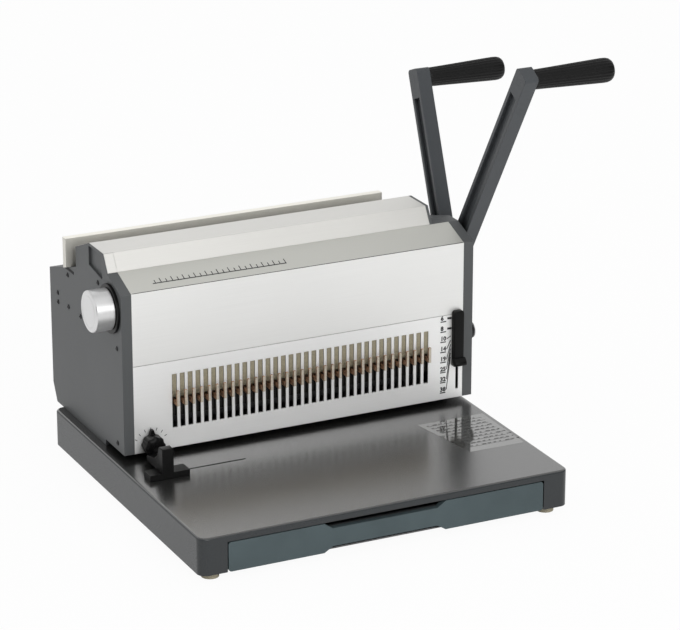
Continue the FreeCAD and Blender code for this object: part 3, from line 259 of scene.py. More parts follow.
class Finish(Tree):
    """A material with one Principled shader."""

    def __init__(self, name, **constants):
        self.material = bpy.data.materials.new(name)
        super().__init__(self.material)
        self.shader = self.tree.nodes.new("ShaderNodeBsdfPrincipled")
        output = self.tree.nodes.new("ShaderNodeOutputMaterial")
        self.tree.links.new(self.shader.outputs[0], output.inputs[0])
        for name, value in constants.items():
            self.shader.inputs[name.replace("_", " ")].default_value = value
        self.place = self.node("ShaderNodeTexCoord", output="Object")

    def noise(self, scale, detail=3, stretch=(1, 1, 1)):
        """Noise by place, at features per metre, stretched along the axes."""
        place = self.node("ShaderNodeVectorMath", {"operation": "MULTIPLY"},
                          {0: self.place, 1: stretch})
        return self.node("ShaderNodeTexNoise", {},
                         {"Vector": place, "Scale": scale, "Detail": detail})

    def mix(self, share, first, second):
        """Colour between two others."""
        colours = [value if isinstance(value, Wire) else (*value, 1) for value in (first, second)]
        return self.node("ShaderNodeMix", {"data_type": "RGBA"},
                         {0: share, 6: colours[0], 7: colours[1]}, output=2)

    def part(self, axis, normal=False):
        """X, Y or Z of the place, or of the surface's own normal."""
        vector = self.node("ShaderNodeTexCoord", output="Normal") if normal else self.place
        return self.node("ShaderNodeSeparateXYZ", {}, {0: vector}, output=axis)

    def rounded(self, radius):
        """Normal with sheet edges rounded off."""
        return self.node("ShaderNodeBevel", {"samples": 4}, {"Radius": radius})

    def corner(self, reach):
        """0 deep in a corner or recess, 1 in the open; the finishes paint shade with it."""
        return self.node("ShaderNodeAmbientOcclusion", {"samples": 6}, {"Distance": reach},
                         output="AO")

    def wear(self, radius):
        """Mask of the outer edges, where a coat rubs thin."""
        soft = self.node("ShaderNodeBevel", {"samples": 4}, {"Radius": radius})
        hard = self.node("ShaderNodeNewGeometry", output="Normal")
        same = self.node("ShaderNodeVectorMath", {"operation": "DOT_PRODUCT"},
                         {0: soft, 1: hard}, output="Value")
        return 1 - same

    def bump(self, height, strength, distance, normal=None):
        """Fine relief, on the surface's own normal or on another."""
        sockets = {"Height": height, "Strength": strength, "Distance": distance}
        if normal:
            sockets["Normal"] = normal
        self.feed(self.shader.inputs["Normal"], self.node("ShaderNodeBump", {}, sockets))

    def surface(self, base, rough):
        """Colour and roughness of the surface."""
        self.feed(self.shader.inputs["Base Color"], base)
        self.feed(self.shader.inputs["Roughness"], rough)


def lighter(shade, factor):
    """A colour made lighter, or darker by a factor below 1."""
    return tuple(min(1, channel * factor) for channel in shade)


def powder_coat(name, shade, rough, grain, round_off, side=None):
    """Sprayed coat: fine orange peel, faint clouding, thin paint on the edges, and painted shade
    in corners and recesses.
    """
    finish = Finish(name, Specular_IOR_Level=0.3, Coat_IOR=2, Coat_Roughness=0.24)
    cloud = finish.noise(14)
    speck = finish.noise(1500, detail=2)
    coat = finish.mix(cloud, lighter(shade, 0.9), lighter(shade, 1.1))
    # Painted light: faces that don't point up get the side colour instead of the coat's own, for
    # how light falls on them; the top alone gets the glossy coat.
    if side:
        top = finish.part("Z", normal=True) > 0.7
        coat = finish.mix(top, side, coat)
        finish.feed(finish.shader.inputs["Coat Weight"], top)
    # Painted shade: the coat darkens to a third of its colour in corners and recesses.
    coat = finish.mix(finish.span(finish.corner(0.012), 0.15, 0.75), lighter(shade, 0.3), coat)
    coat = finish.mix(speck * 0.35, coat, lighter(shade, 1.35))
    coat = finish.mix(finish.wear(0.0012) * 0.6, coat, lighter(shade, 2.2))
    finish.surface(coat, rough + (speck - 0.5) * 0.16)
    finish.bump(finish.noise(grain, detail=2), 0.25, 0.00006, finish.rounded(round_off))
    return finish.material


def brushed_sheet(name, shade, round_off, edge=None, top=None):
    """Anodised sheet, brushed along the machine, with painted shade in corners. A top colour
    paints upward faces another tone for how light falls on them; an edge colour is the slots' cut
    edges, with painted shade on them low down.
    """
    finish = Finish(name, Metallic=0.5)
    lines = finish.noise(1, detail=4, stretch=(9, 1700, 1700))
    cloud = finish.noise(6)
    sheet = finish.mix(lines * 0.5 + cloud * 0.5, lighter(shade, 0.9), lighter(shade, 1.06))
    # Painted light: faces that point up get another tone, for how light falls on them.
    if top:
        sheet = finish.mix(finish.span(finish.part("Z", normal=True), 0.5, 0.8), sheet, top)
    if edge:
        # Painted shade: the slots' cut edges darken low down, deep in the slots.
        lit = finish.span(finish.part("Z"), SLOT_SHADED_BELOW, SLOT_UNSHADED_ABOVE)
        inside = finish.mix(lit, lighter(edge, 0.35), edge)
        sheet = finish.mix(abs(finish.part("X", normal=True)) > 0.6, sheet, inside)
    # Painted shade: the sheet darkens in corners and under the parts that stand on it.
    sheet = finish.mix(finish.span(finish.corner(0.018), 0.25, 0.8), lighter(shade, 0.5), sheet)
    finish.surface(sheet, 0.36 + lines * 0.16)
    finish.bump(lines, 0.12, 0.00004, finish.rounded(round_off))
    return finish.material


def ground_steel(name, shade):
    """Machined steel with fine scratches, a trace of oil, and painted shade in its recesses."""
    finish = Finish(name, Metallic=0.9)
    lines = finish.noise(1, detail=3, stretch=(900, 900, 60))
    oil = finish.noise(22)
    metal = finish.mix(oil, lighter(shade, 0.72), shade)
    # Painted shade: the steel turns nearly black in corners and recesses.
    metal = finish.mix(finish.span(finish.corner(0.03), 0.35, 0.85), lighter(shade, 0.06), metal)
    finish.surface(metal, 0.28 + lines * 0.22)
    finish.bump(lines, 0.15, 0.00005)
    return finish.material


def hook_steel(name, side, lip, shaded_below=None):
    """Plated comb steel: bronze sides, lighter fronts, and painted shade, near black, on the parts
    deep in the slots.
    """
    finish = Finish(name, Metallic=0.35)
    front = finish.part("Y", normal=True) < -0.6
    rub = finish.noise(420)
    flank = finish.mix(finish.span(rub, 0.35, 0.65), lighter(side, 0.45), lighter(side, 1.2))
    face = finish.mix(rub, lighter(lip, 0.6), lighter(lip, 1.1))
    if not shaded_below:
        # Painted shade: hook fronts behind the panel's face turn near black.
        face = finish.mix(finish.part("Y") > PANEL_Y - MM, face, HOOK_PAINTED_SHADE)
    else:
        # Painted shade: finger fronts darken downward towards the hooks' lowest point and are near
        # black below it.
        height = finish.part("Z")
        face = finish.mix(finish.span(height + (rub - 0.5) * 0.02, shaded_below + 0.012,
                                      shaded_below + 0.03), lighter(lip, 0.22), face)
        face = finish.mix(height > shaded_below, FINGER_PAINTED_SHADE, face)
    finish.surface(finish.mix(front, flank, face), 0.34 + rub * 0.2)
    finish.bump(rub, 0.2, 0.00008, finish.rounded(0.0003))
    return finish.material


def moulded(name, shade, rough, grain, depth, **constants):
    """Moulded plastic or rubber with a fine spark-eroded grain."""
    finish = Finish(name, **{"Specular_IOR_Level": 0.25, **constants})
    grains = finish.noise(grain, detail=2)
    cloud = finish.noise(30)
    skin = finish.mix(cloud, lighter(shade, 0.82), lighter(shade, 1.22))
    skin = finish.mix(finish.wear(0.0008) * 0.2, skin, lighter(shade, 2.5))
    finish.surface(skin, rough + (grains - 0.5) * 0.2)
    finish.bump(grains, 0.3, depth, finish.rounded(0.0005))
    return finish.material


def turned_metal(name, shade, centre):
    """Lathe-turned metal, with rings about the knob's own axis."""
    finish = Finish(name, Metallic=0.75)
    across = finish.part("Y") - centre.y
    up = finish.part("Z") - centre.z
    radius = finish.node("ShaderNodeMath", {"operation": "SQRT"},
                         {0: across * across + up * up})
    rings = finish.node("ShaderNodeTexNoise", {"noise_dimensions": "1D"},
                        {"W": radius * 2600 + finish.part("X") * 1900, "Scale": 1, "Detail": 2})
    finish.surface(finish.mix(rings, lighter(shade, 0.86), lighter(shade, 1.05)),
                   0.26 + rings * 0.16)
    finish.bump(rings, 0.18, 0.00005)
    return finish.material


def ink(name, shade):
    """Screen-printed ink, a little uneven."""
    finish = Finish(name)
    patch = finish.noise(900)
    finish.surface(finish.mix(patch, lighter(shade, 0.85), lighter(shade, 1.2)),
                   0.45 + patch * 0.2)
    finish.bump(patch, 0.1, 0.00002)
    return finish.material


def clear_film(name, shade):
    """Clear glossy film, faintly uneven."""
    finish = Finish(name, Coat_Weight=1, Coat_IOR=2.2, Coat_Roughness=0.05)
    haze = finish.noise(25)
    finish.surface(finish.mix(haze, lighter(shade, 0.92), lighter(shade, 1.08)),
                   0.05 + haze * 0.05)
    finish.bump(finish.noise(60), 0.05, 0.00002)
    return finish.material


# --- meshes -----------------------------------------------------------------------------------


def mesh_from(name, build, smooth_below):
    """Mesh that a function fills, with sharp edges above an angle."""
    work = bmesh.new()
    build(work)
    bmesh.ops.recalc_face_normals(work, faces=work.faces)
    mesh = bpy.data.meshes.new(name)
    work.to_mesh(mesh)
    work.free()
    mesh.shade_smooth()
    mesh.set_sharp_from_angle(angle=math.radians(smooth_below))
    return mesh


def piece(name, build, material, body, smooth_below=40, instead_of=None):
    """Build a piece, put it on its body with its finish, and let it replace a CAD node."""
    mesh = mesh_from(name, build, smooth_below)
    made = bpy.data.objects.new(name, mesh)
    bpy.context.scene.collection.objects.link(made)
    mesh.materials.append(material)
    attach(made, body)
    if instead_of:
        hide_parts(instead_of)


def scaled(points):
    """Pairs of millimetres as metres."""
    return [(first * MM, second * MM) for first, second in points]


def lathe(work, profile, centre, axis, segments=64, shape=None):
    """Turn (along, radius) pairs about an axis through a centre; a radius of 0 closes an end."""
    turn = UP_WAY.rotation_difference(axis).to_matrix()
    rings = []
    for along, radius in profile:
        if radius == 0:
            rings.append([work.verts.new(centre + turn @ Vector((0, 0, along)))])
            continue
        ring = []
        for index in range(segments):
            angle = 2 * math.pi * index / segments
            reach = radius - shape(angle, along) if shape else radius
            spot = Vector((reach * math.cos(angle), reach * math.sin(angle), along))
            ring.append(work.verts.new(centre + turn @ spot))
        rings.append(ring)
    for first, second in zip(rings, rings[1:]):
        for index in range(segments):
            following = (index + 1) % segments
            corners = [first[index % len(first)], first[following % len(first)],
                       second[following % len(second)], second[index % len(second)]]
            unique = list(dict.fromkeys(corners))
            if len(unique) > 2:
                work.faces.new(unique)


def ring_lathe(work, profile, centre, axis, segments):
    """Turn a closed outline that goes all round, such as a washer's."""
    lathe(work, [*profile, profile[0]], centre, axis, segments)
    bmesh.ops.remove_doubles(work, verts=work.verts, dist=TOUCH / 10)


def slab(work, corners, lift):
    """A thin plate on four or more corners, raised by a vector."""
    low = [work.verts.new(corner) for corner in corners]
    high = [work.verts.new(corner + lift) for corner in corners]
    work.faces.new(low[::-1])
    work.faces.new(high)
    for index in range(len(low)):
        following = (index + 1) % len(low)
        work.faces.new([low[index], low[following], high[following], high[index]])


def soften(work, width, segments, wanted=lambda spot: True):
    """Round every edge whose two ends pass a test of their place."""
    edges = [edge for edge in work.edges if all(wanted(end.co) for end in edge.verts)]
    bmesh.ops.bevel(work, geom=edges, offset=width, segments=segments, affect="EDGES",
                    profile=0.5)


def stroke(work, start, end, width, normal):
    """A printed line of a given width between two points of a plane."""
    along = (end - start).normalized()
    side = along.cross(normal).normalized() * width / 2
    slab(work, [start - side, start + side, end + side, end - side], normal * INK_THICK)


def on_panel(x, z):
    """A point of the front panel's face, in millimetres across and up."""
    return Vector((x * MM, PANEL_Y, z * MM))


def on_shelf(x, up):
    """A point of the sloping shelf, in millimetres across and up its slope."""
    return Vector((x * MM, PANEL_Y, SHELF_FOLD)) + SHELF_SLOPE * up * MM


def on_base(x, y):
    """A point of the base's top, in millimetres."""
    return Vector((x * MM, y * MM, BASE_TOP))


def numeral(work, text, spot, height):
    """A plain printed number, flat on the front panel, with the ink's thickness."""
    curve = bpy.data.curves.new("numeral", "FONT")
    curve.body = text
    curve.size = height
    curve.extrude = INK_THICK / 2
    curve.offset = height * NUMERAL_WEIGHT
    curve.resolution_u = 2
    holder = bpy.data.objects.new("numeral", curve)
    bpy.context.scene.collection.objects.link(holder)
    bpy.context.view_layer.update()
    shape = bpy.data.meshes.new_from_object(
        holder.evaluated_get(bpy.context.evaluated_depsgraph_get()))
    axes = Matrix((RIGHT_WAY, UP_WAY, FRONT_WAY)).transposed().to_4x4()
    shape.transform(Matrix.Translation(spot + FRONT_WAY * INK_THICK / 2) @ axes)
    work.from_mesh(shape)
    bpy.data.objects.remove(holder)
    bpy.data.curves.remove(curve)
    bpy.data.meshes.remove(shape)


# --- the machine's pieces ---------------------------------------------------------------------


def colour_of(name):
    """A colour of the panel, as plain numbers."""
    return tuple(getattr(bpy.context.scene.binder_colours, name))


def size_of(name):
    """A size of the panel."""
    return getattr(bpy.context.scene.binder_sizes, name)


def dress(material, *nodes):
    """Give CAD nodes a finish."""
    for name in nodes:
        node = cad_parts[name]
        if not node.material_slots:
            node.data.materials.append(material)
        for holder in node.material_slots:
            holder.material = material


def hood_lip(work):
    """The hood's end, which folds over the left cheek's edge."""
    across = RIGHT_WAY * (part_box("top_hood")[0].x - HOOD_LEFT)
    for first, second in zip(HOOD_LINE, HOOD_LINE[1:]):
        foot, head = Vector((HOOD_LEFT, *first)), Vector((HOOD_LEFT, *second))
        out = across.cross(head - foot).normalized() * LIP_THICK
        slab(work, [foot, head, head + across, foot + across], out)


def casing_trims(work):
    """A dark line along the shelf's fold, and a painted shadow: a thin dark strip on the left
    cheek below the rear bar.
    """
    fold_line = [on_shelf(x, up) for x, up in ((-175, 0.4), (188, 0.4), (188, 1.1), (-175, 1.1))]
    slab(work, fold_line, SHELF_NORMAL * INK_THICK)
    # Painted shadow: a thin dark strip on the left cheek, just below the rear bar.
    foot = Vector((CHEEK_X, 0.146, 0.2025))
    wide, high = Vector((0, 0.026, 0)), Vector((0, 0, 0.0028))
    slab(work, [foot, foot + wide, foot + wide + high, foot + high], LEFT_WAY * TRIM_THICK)


class BINDER_OT_casing(bpy.types.Operator):
    """Coat the cheeks, covers, base and arms, brush the silver sheets and fold the hood's lip"""
    bl_idname = "binder.casing"
    bl_label = "Casing"

    def execute(self, context):
        edge = size_of("edge_round")
        dress(powder_coat("cheek_coat", colour_of("cheeks"), 0.48, 1100, edge),
              "left_cheek", "right_cheek", "rear_cover", "hood_end_cap")
        dress(powder_coat("arm_coat", colour_of("arms"), 0.42, 1300, edge),
              "front_arm", "rear_arm", "punch_spindle", "opener_spindle")
        dress(powder_coat("base_coat", colour_of("base"), 0.27, 700, edge, colour_of("base_side")),
              "base_pan")
        hood_sheet = brushed_sheet("hood_sheet", colour_of("hood"), edge)
        # The shelf's upward faces get a painted darker tone.
        dress(brushed_sheet("silver_sheet", colour_of("silver"), edge, top=colour_of("shelf")),
              "upper_front_panel")
        dress(hood_sheet, "top_hood")
        bar = colour_of("rear_bar")
        # The bar's top gets a painted lighter tone.
        dress(brushed_sheet("bar_sheet", bar, edge, top=lighter(bar, 1.3)), "rear_bar")
        # Painted light: the slotted panel gets a lighter copy of the same silver.
        dress(brushed_sheet("slotted_sheet", lighter(colour_of("silver"), 1.1), edge,
                            colour_of("slot_edge")), "slotted_front_panel")
        piece("hood_lip", hood_lip, hood_sheet, "frame")
        # One black for the dark line at the shelf's fold and for the painted shadow under the rear
        # bar.
        dark = moulded("seam_black", DARK_LINE_AND_SHADOW_BLACK, 0.6, 900, 0.00003)
        piece("casing_trims", casing_trims, dark, "frame")
        return {"FINISHED"}


class BINDER_OT_works(bpy.types.Operator):
    """Finish the steel works, the comb hooks and the fixed fingers"""
    bl_idname = "binder.works"
    bl_label = "Works"

    def execute(self, context):
        dress(ground_steel("ground_steel", colour_of("steel")), *STEEL_NODES)
        dress(hook_steel("hook_steel", colour_of("bronze"), colour_of("lip")), "comb_hooks")
        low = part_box("comb_hooks")[0].z
        dress(hook_steel("finger_steel", colour_of("bronze"), colour_of("finger"), low),
              "comb_fingers")
        return {"FINISHED"}


class BINDER_OT_drawer(bpy.types.Operator):
    """Finish the chip drawer's front and tray"""
    bl_idname = "binder.drawer"
    bl_label = "Drawer"

    def execute(self, context):
        dress(moulded("fascia_plastic", colour_of("fascia"), 0.42, 1600, 0.00006),
              "drawer_fascia")
        dress(moulded("tray_plastic", colour_of("tray"), 0.5, 1200, 0.00008), "drawer_tray")
        return {"FINISHED"}


def slider_body(work):
    """The slider's body, with a round-cornered top and a softened face."""
    low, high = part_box("size_slider")
    width, head, corner = 0.0113, 0.148, 0.0028
    outline = [(low.x, SLIDER_FOOT), (low.x + width, SLIDER_FOOT)]
    for x, turn in ((low.x + width - corner, 0), (low.x + corner, 90)):
        for step in range(5):
            angle = math.radians(turn + step * 22.5)
            outline.append((x + corner * math.cos(angle),
                            head - corner + corner * math.sin(angle)))
    slab(work, [Vector((x, high.y, z)) for x, z in outline], FRONT_WAY * (high.y - low.y))
    soften(work, 0.0008, 3, lambda spot: abs(spot.y - low.y) < TOUCH)


def slider_lip(work):
    """The finger lip at the slider's foot."""
    low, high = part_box("size_slider")
    face, width = low.y, 0.0128
    profile = [(high.y, SLIDER_FOOT), (face + 0.0005, 0.0975), (face - 0.001, 0.0972),
               (face - 0.0042, SLIDER_FOOT), (face - 0.0048, 0.0918),
               (face - 0.0042, 0.0896), (face, 0.0882), (high.y, 0.0882)]
    slab(work, [Vector((low.x - 0.0002, y, z)) for y, z in profile], RIGHT_WAY * width)
    soften(work, 0.0005, 2)


def fence(work):
    """The edge guide's fence, stepped down towards its back."""
    near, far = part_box("guide_fence")
    step = near.z + 0.0085
    profile = [(near.y, near.z), (far.y, near.z), (far.y, step - 0.003),
               (near.y + 0.020, step), (near.y + 0.012, step + 0.006),
               (near.y + 0.0095, far.z), (near.y, far.z)]
    slab(work, [Vector((near.x, y, z)) for y, z in profile], RIGHT_WAY * (far.x - near.x))
    soften(work, 0.0009, 3, lambda spot: spot.z > near.z + 0.0001)


def dial(work):
    """The alignment dial, scalloped for the fingers, with its pointer."""
    start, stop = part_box("align_dial")
    hub = middle("align_dial")
    hub.y = stop.y
    deep = stop.y - start.y
    rim, scallops, scallop_depth = 0.0108, 8, 0.0011

    def scallop(angle, along):
        wave = 0.5 - 0.5 * math.cos(scallops * angle)
        return scallop_depth * wave if 0 < along < deep else 0

    lathe(work, [(0, 0), (0, rim - 0.0012), (0.0008, rim), (deep - 0.0022, rim),
                 (deep - 0.0006, rim - 0.0016), (deep, rim - 0.0036),
                 (deep, 0.0034), (deep - 0.0008, 0.0028), (deep - 0.0008, 0)],
          hub, FRONT_WAY, 96, scallop)
    root, tip, reach, thick = 0.0034, 0.0012, 0.0152, 0.0042
    corners = [(-root, rim * 0.8), (root, rim * 0.8), (tip, reach), (-tip, reach)]
    slab(work, [Vector((hub.x + across, stop.y - 0.0006, hub.z + up)) for across, up in corners],
         FRONT_WAY * thick)


def knob(work):
    """The margin knob, with a bevelled face and a turned groove."""
    low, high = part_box("margin_knob")
    centre = middle("margin_knob")
    centre.x = high.x
    reach, radius, bevel = high.x - low.x, (high.z - low.z) / 2, size_of("knob_bevel")
    profile = [(0, 0), (0, radius * 0.97), (reach * 0.03, radius), (reach - bevel, radius),
               (reach - bevel * 0.35, radius - bevel * 0.35), (reach, radius - bevel),
               (reach, radius * 0.8), (reach - 0.0003, radius * 0.785),
               (reach - 0.0003, radius * 0.75), (reach, radius * 0.735), (reach, 0)]
    lathe(work, profile, centre, LEFT_WAY, 128)


class BINDER_OT_controls(bpy.types.Operator):
    """Turn the margin knob and dial, and mould the slider, its lip and the edge guide"""
    bl_idname = "binder.controls"
    bl_label = "Controls"

    def execute(self, context):
        black = moulded("black_plastic", colour_of("plastic"), 0.36, 1800, 0.00005,
                        Specular_IOR_Level=0.15)
        dress(black, "margin_collar", "align_dial", "size_slider", "slider_knob",
              "guide_foot", "guide_fence")
        for name, build, body, smooth_below, node in (
                ("moulded_slider", slider_body, "limit_slider", 30, "size_slider"),
                ("slider_lip", slider_lip, "limit_slider", 30, "slider_knob"),
                ("moulded_fence", fence, "edge_guide", 30, "guide_fence"),
                ("scalloped_dial", dial, "align_knob", 35, "align_dial")):
            piece(name, build, black, body, smooth_below, node)
        alloy = turned_metal("turned_alloy", colour_of("alloy"), middle("margin_knob"))
        piece("turned_knob", knob, alloy, "margin_dial", 25, "margin_knob")
        return {"FINISHED"}


class BINDER_OT_grips(bpy.types.Operator):
    """Mould the two fluted grips"""
    bl_idname = "binder.grips"
    bl_label = "Grips"

    def execute(self, context):
        flutes, depth = size_of("flutes"), size_of("flute_depth")
        rubber = moulded("grip_rubber", colour_of("grip"), 0.46, 2200, 0.00005)

        def flute(angle, along):
            fade = max(0, min(1, along / FLUTE_START, (FLUTE_END - along) / FLUTE_FADE))
            return depth * fade * abs(math.cos(angle * flutes / 2)) ** 3

        for name, body in (("punch_grip", "punch_handle"), ("opener_grip", "opener_handle")):
            centre = middle(name)
            centre.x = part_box(name)[0].x

            def grip(work, at=centre):
                lathe(work, scaled(GRIP_LINE), at, RIGHT_WAY, flutes * 8, flute)

            piece(f"fluted_{name}", grip, rubber, body, 60, name)
        return {"FINISHED"}


def socket_head(work, centre, axis, radius):
    """Low round head with a sunk socket."""
    rise, sunk = radius * 0.34, 0.0002
    lathe(work, [(-sunk, 0), (-sunk, radius), (rise * 0.5, radius), (rise, radius * 0.72),
                 (rise, radius * 0.42), (rise * 0.2, radius * 0.4), (rise * 0.2, 0)],
          centre, axis, 24)


def cheek_screws(work):
    """The screw heads on both cheeks."""
    for x, axis, places in ((CHEEK_X, LEFT_WAY, LEFT_SCREWS),
                            (CHEEK_RIGHT_X, RIGHT_WAY, RIGHT_SCREWS)):
        for y, z in scaled(places):
            socket_head(work, Vector((x, y, z)), axis, size_of("screw_radius"))


class BINDER_OT_screws(bpy.types.Operator):
    """Fit the screws of the cheeks, the washers of both arms and the pivot caps"""
    bl_idname = "binder.screws"
    bl_label = "Screws"

    def execute(self, context):
        black = moulded("screw_black", SCREW_BLACK, 0.35, 2600, 0.00003, Metallic=0.6)
        piece("cheek_screws", cheek_screws, black, "frame", 30)
        steel = ground_steel("pivot_steel", PIVOT_STEEL)
        arm_start, arm_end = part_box("front_arm")[0].x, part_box("front_arm")[1].x
        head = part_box("punch_shaft")[1].x - arm_end
        thick = arm_start - CHEEK_RIGHT_X - 2 * WASHER_GAP
        for name, body in (("punch_shaft", "punch_handle"), ("opener_shaft", "opener_handle")):
            centre = middle(name)

            def washer(work, at=centre):
                at = Vector((CHEEK_RIGHT_X + WASHER_GAP, at.y, at.z))
                ring_lathe(work, [(0, 0.0072), (0, 0.0112), (thick * 0.2, 0.0116),
                                  (thick * 0.8, 0.0116), (thick, 0.0112), (thick, 0.0072)],
                           at, RIGHT_WAY, 48)

            def cap(work, at=centre):
                at = Vector((arm_end + 0.0001, at.y, at.z))
                lathe(work, [(0, 0), (0, 0.0094), (head * 0.5, 0.0094), (head * 0.9, 0.0082),
                             (head + 0.0006, 0.0055), (head + 0.0008, 0.003),
                             (head * 0.8, 0.0028), (head * 0.8, 0)], at, RIGHT_WAY, 48)

            piece(f"{name}_washer", washer, steel, body, 30)
            piece(f"{name}_cap", cap, black, body, 30)
        return {"FINISHED"}


def foot_collars(work):
    """The collar round the top of each foot."""
    low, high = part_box("foot_pads")
    height = size_of("collar_height")
    inset = FOOT_RADIUS
    profile = [(0, 0.0088), (0, 0.0098), (height * 0.25, 0.0103), (height, 0.0103),
               (height, 0.0088)]
    for x in (low.x + inset, high.x - inset):
        for y in (low.y + inset, high.y - inset):
            ring_lathe(work, profile, Vector((x, y, high.z - height)), UP_WAY, 40)


class BINDER_OT_feet(bpy.types.Operator):
    """Fit the dark collars of the feet"""
    bl_idname = "binder.feet"
    bl_label = "Feet"

    def execute(self, context):
        dress(moulded("foot_rubber", colour_of("pads"), 0.6, 1400, 0.0001), "foot_pads")
        piece("foot_collars", foot_collars,
              moulded("collar_black", colour_of("plastic"), 0.4, 1500, 0.00006),
              "frame", 30)
        return {"FINISHED"}


def shelf_ruler(work):
    """A rule along the shelf, with a longer tick at every second mark."""
    line, first, pitch = 11.5, -146, 6.1
    stroke(work, on_shelf(-149, line), on_shelf(-5, line), 0.0013, SHELF_NORMAL)
    for index in range(24):
        x = first + index * pitch
        rise = 7 if index % 2 else 5
        stroke(work, on_shelf(x, line), on_shelf(x, line + rise), 0.0009, SHELF_NORMAL)


def comb_size_scale(work):
    """Comb sizes beside the slider, each underlined and with a leader to its mark."""
    top, pitch = 138.6, 11.1
    for index, text in enumerate(COMB_SIZES):
        z = top - index * pitch
        numeral(work, text, on_panel(163.4, z), 0.0064)
        stroke(work, on_panel(163.2, z - 1.6), on_panel(169.6, z - 1.6), 0.0012, FRONT_WAY)
        if index < 2:
            stroke(work, on_panel(171, z + 1.5), on_panel(176, z + 1.2), 0.0022, FRONT_WAY)
        else:
            stroke(work, on_panel(170.6, z + 1.5), on_panel(175, 129.5 - index * 4.6), 0.0009,
                   FRONT_WAY)


def dial_scale(work):
    """Seven ticks round the top of the alignment dial."""
    centre = middle("dial_shaft")
    spot = Vector((centre.x, PANEL_Y, centre.z))
    for step in range(-3, 4):
        angle = math.radians(step * 20)
        way = Vector((math.sin(angle), 0, math.cos(angle)))
        stroke(work, spot + way * 0.0168, spot + way * 0.0198, 0.0006, FRONT_WAY)


def chart_film(work):
    """The clear film on the base that carries the chart."""
    slab(work, [on_base(117, -19), on_base(131.5, -106), on_base(192, -107), on_base(192, -19)],
         UP_WAY * INK_THICK)


def base_chart(work):
    """Rows of plain dashes, each above a thin line, printed on the film."""
    film = UP_WAY * INK_THICK
    for row in range(10):
        y = -26 - row * 7.4
        start = 124 + row * 1.6
        for column in range(9):
            spot = on_base(start + column * 6.6, y) + film
            dash = 2 + (row * 5 + column * 3) % 4
            stroke(work, spot, spot + RIGHT_WAY * (dash * MM), 0.0013, UP_WAY)
        stroke(work, on_base(start, y - 2) + film, on_base(186, y - 2) + film, 0.0005, UP_WAY)


class BINDER_OT_marks(bpy.types.Operator):
    """Print the plain scales on the shelf, the panel and the base"""
    bl_idname = "binder.marks"
    bl_label = "Marks"

    def execute(self, context):
        dark = ink("panel_ink", colour_of("ink"))
        clear = clear_film("chart_film", colour_of("film"))
        for name, build, finish, slot in (
                ("shelf_ruler", shelf_ruler, dark, "silver_sheet"),
                ("comb_size_scale", comb_size_scale, dark, "silver_sheet"),
                ("dial_scale", dial_scale, dark, "silver_sheet"),
                ("chart_film", chart_film, clear, "base_paint"),
                ("base_chart", base_chart, dark, "base_paint")):
            piece(name, build, finish, "frame")
        return {"FINISHED"}


# --- stage ------------------------------------------------------------------------------------

CAMERA_PLACE = Vector((-1.261, -2.672, 1.235))
CAMERA_YAW = 25.94
CAMERA_PITCH = 19.70
CAMERA_LENS = 167.5
FLOOR_WHITE = 0.95
WORLD_FRONT = 0.1
WORLD_BACK = 0.92
WORLD_HIGH = 0.45
FLOOR_REACH = 9
SENSOR_WIDTH = 36
SEEN_TO = 50
LAMP_AIM = Vector((0, 0, 0.15))
# Name, place, side and power of each soft lamp.
LAMPS = (
    ("key", (0.0, -3.0, 1.4), 1.6, 46),
    ("side", (-2.3, 0.2, 0.7), 1.3, 3),
    ("back", (0.3, 1.9, 2.1), 1.6, 4),
)


def make_floor():
    """Pale paper floor that stays near white and keeps the machine's shadow."""
    work = bmesh.new()
    bmesh.ops.create_grid(work, x_segments=8, y_segments=8, size=FLOOR_REACH)
    mesh = bpy.data.meshes.new("floor")
    work.to_mesh(mesh)
    work.free()
    floor = bpy.data.objects.new("floor", mesh)
    bpy.context.scene.collection.objects.link(floor)
    finish = Finish("floor_paper", Specular_IOR_Level=0.1)
    finish.surface(finish.mix(finish.noise(3), (0.8, 0.8, 0.8), (0.84, 0.84, 0.84)), 0.9)
    seen = finish.seen_by("Is Camera Ray", "Is Glossy Ray", "Is Transmission Ray")
    white = finish.node("ShaderNodeEmission", {}, {"Color": (1, 1, 1, 1)})
    mixer = finish.node("ShaderNodeMixShader", {}, {
        0: seen * FLOOR_WHITE, 1: Wire(finish, finish.shader.outputs[0]), 2: white})
    output = next(node for node in finish.tree.nodes if node.type == "OUTPUT_MATERIAL")
    finish.feed(output.inputs[0], mixer)
    mesh.materials.append(finish.material)


def make_world(scene):
    """White to look at; as a light, dim only low in front and above the back."""
    world = bpy.data.worlds.new("studio")
    scene.world = world
    tree = Tree(world)
    way = tree.node("ShaderNodeTexCoord", output="Generated")
    depth = tree.node("ShaderNodeSeparateXYZ", {}, {0: way}, output="Y")
    height = tree.node("ShaderNodeSeparateXYZ", {}, {0: way}, output="Z")
    front = tree.span(height, 0.4, 0.62, WORLD_FRONT, WORLD_BACK)
    back = tree.span(height, 0.3, 1, WORLD_BACK, WORLD_HIGH)
    level = front + (back - front) * tree.span(depth, -0.3, 0.55)
    lit = tree.node("ShaderNodeBackground", {}, {"Color": (1, 1, 1, 1), "Strength": level})
    white = tree.node("ShaderNodeBackground", {}, {"Color": (1, 1, 1, 1)})
    mixer = tree.node("ShaderNodeMixShader", {},
                      {0: tree.seen_by("Is Camera Ray", "Is Transmission Ray"), 1: lit,
                       2: white})
    tree.feed(tree.tree.nodes.new("ShaderNodeOutputWorld").inputs[0], mixer)


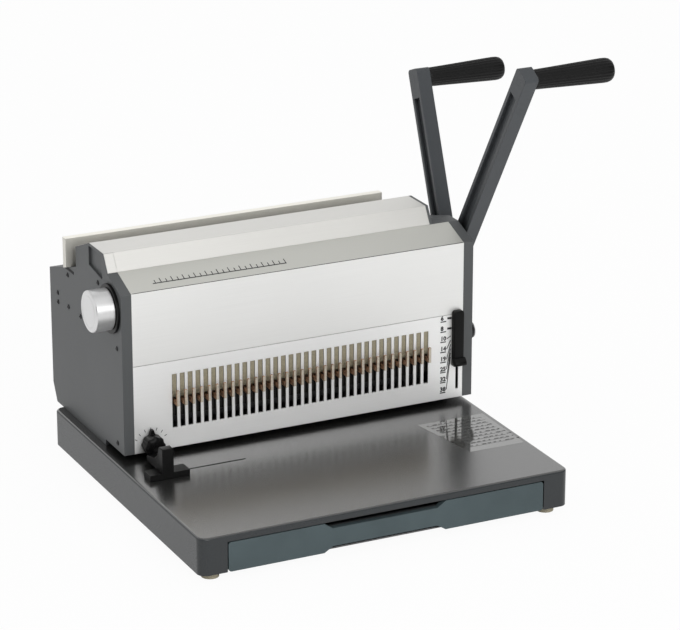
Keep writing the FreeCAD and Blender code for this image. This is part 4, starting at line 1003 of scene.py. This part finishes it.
class BINDER_OT_stage(bpy.types.Operator):
    """Set up the floor, the soft lamps and the camera"""
    bl_idname = "binder.stage"
    bl_label = "Stage"

    def execute(self, context):
        scene = context.scene
        scene.view_settings.view_transform = "Standard"
        make_floor()
        make_world(scene)
        for name, place, size, power in LAMPS:
            light = bpy.data.lights.new(name, "AREA")
            light.shape = "SQUARE"
            light.size = size
            light.energy = power
            lamp = bpy.data.objects.new(name, light)
            lamp.location = place
            lamp.rotation_euler = (LAMP_AIM - lamp.location).to_track_quat("-Z", "Y").to_euler()
            scene.collection.objects.link(lamp)
        lens = bpy.data.cameras.new("camera")
        lens.lens = CAMERA_LENS
        lens.sensor_width = SENSOR_WIDTH
        lens.clip_end = SEEN_TO
        camera = bpy.data.objects.new("camera", lens)
        camera.location = CAMERA_PLACE
        camera.rotation_euler = (math.radians(90 - CAMERA_PITCH), 0, -math.radians(CAMERA_YAW))
        scene.collection.objects.link(camera)
        scene.camera = camera
        return {"FINISHED"}


# --- the add-on -------------------------------------------------------------------------------

STEPS = (BINDER_OT_stage, BINDER_OT_casing, BINDER_OT_works, BINDER_OT_drawer,
         BINDER_OT_controls, BINDER_OT_grips, BINDER_OT_screws, BINDER_OT_feet,
         BINDER_OT_marks)


class BINDER_PT_main(bpy.types.Panel):
    """Colours, sizes and steps of the machine"""
    bl_idname = "BINDER_PT_main"
    bl_label = "Comb binding machine"
    bl_space_type = "VIEW_3D"
    bl_region_type = "UI"
    bl_category = "Binder"

    def draw(self, context):
        for group in (context.scene.binder_colours, context.scene.binder_sizes):
            for name in group.bl_rna.properties.keys():
                if name not in ("rna_type", "name"):
                    self.layout.prop(group, name)
        for step in STEPS:
            self.layout.operator(step.bl_idname)


CLASSES = (BinderColours, BinderSizes, *STEPS, BINDER_PT_main)


def register():
    """Add the classes and the two groups of the panel."""
    for made in CLASSES:
        bpy.utils.register_class(made)
    bpy.types.Scene.binder_colours = PointerProperty(type=BinderColours)
    bpy.types.Scene.binder_sizes = PointerProperty(type=BinderSizes)


def unregister():
    """Take away what register() added."""
    del bpy.types.Scene.binder_sizes
    del bpy.types.Scene.binder_colours
    for made in reversed(CLASSES):
        bpy.utils.unregister_class(made)


def main():
    """Run every step."""
    register()
    for step in STEPS:
        getattr(bpy.ops.binder, step.bl_idname.split(".")[1])()


if __name__ == "__main__":
    main()
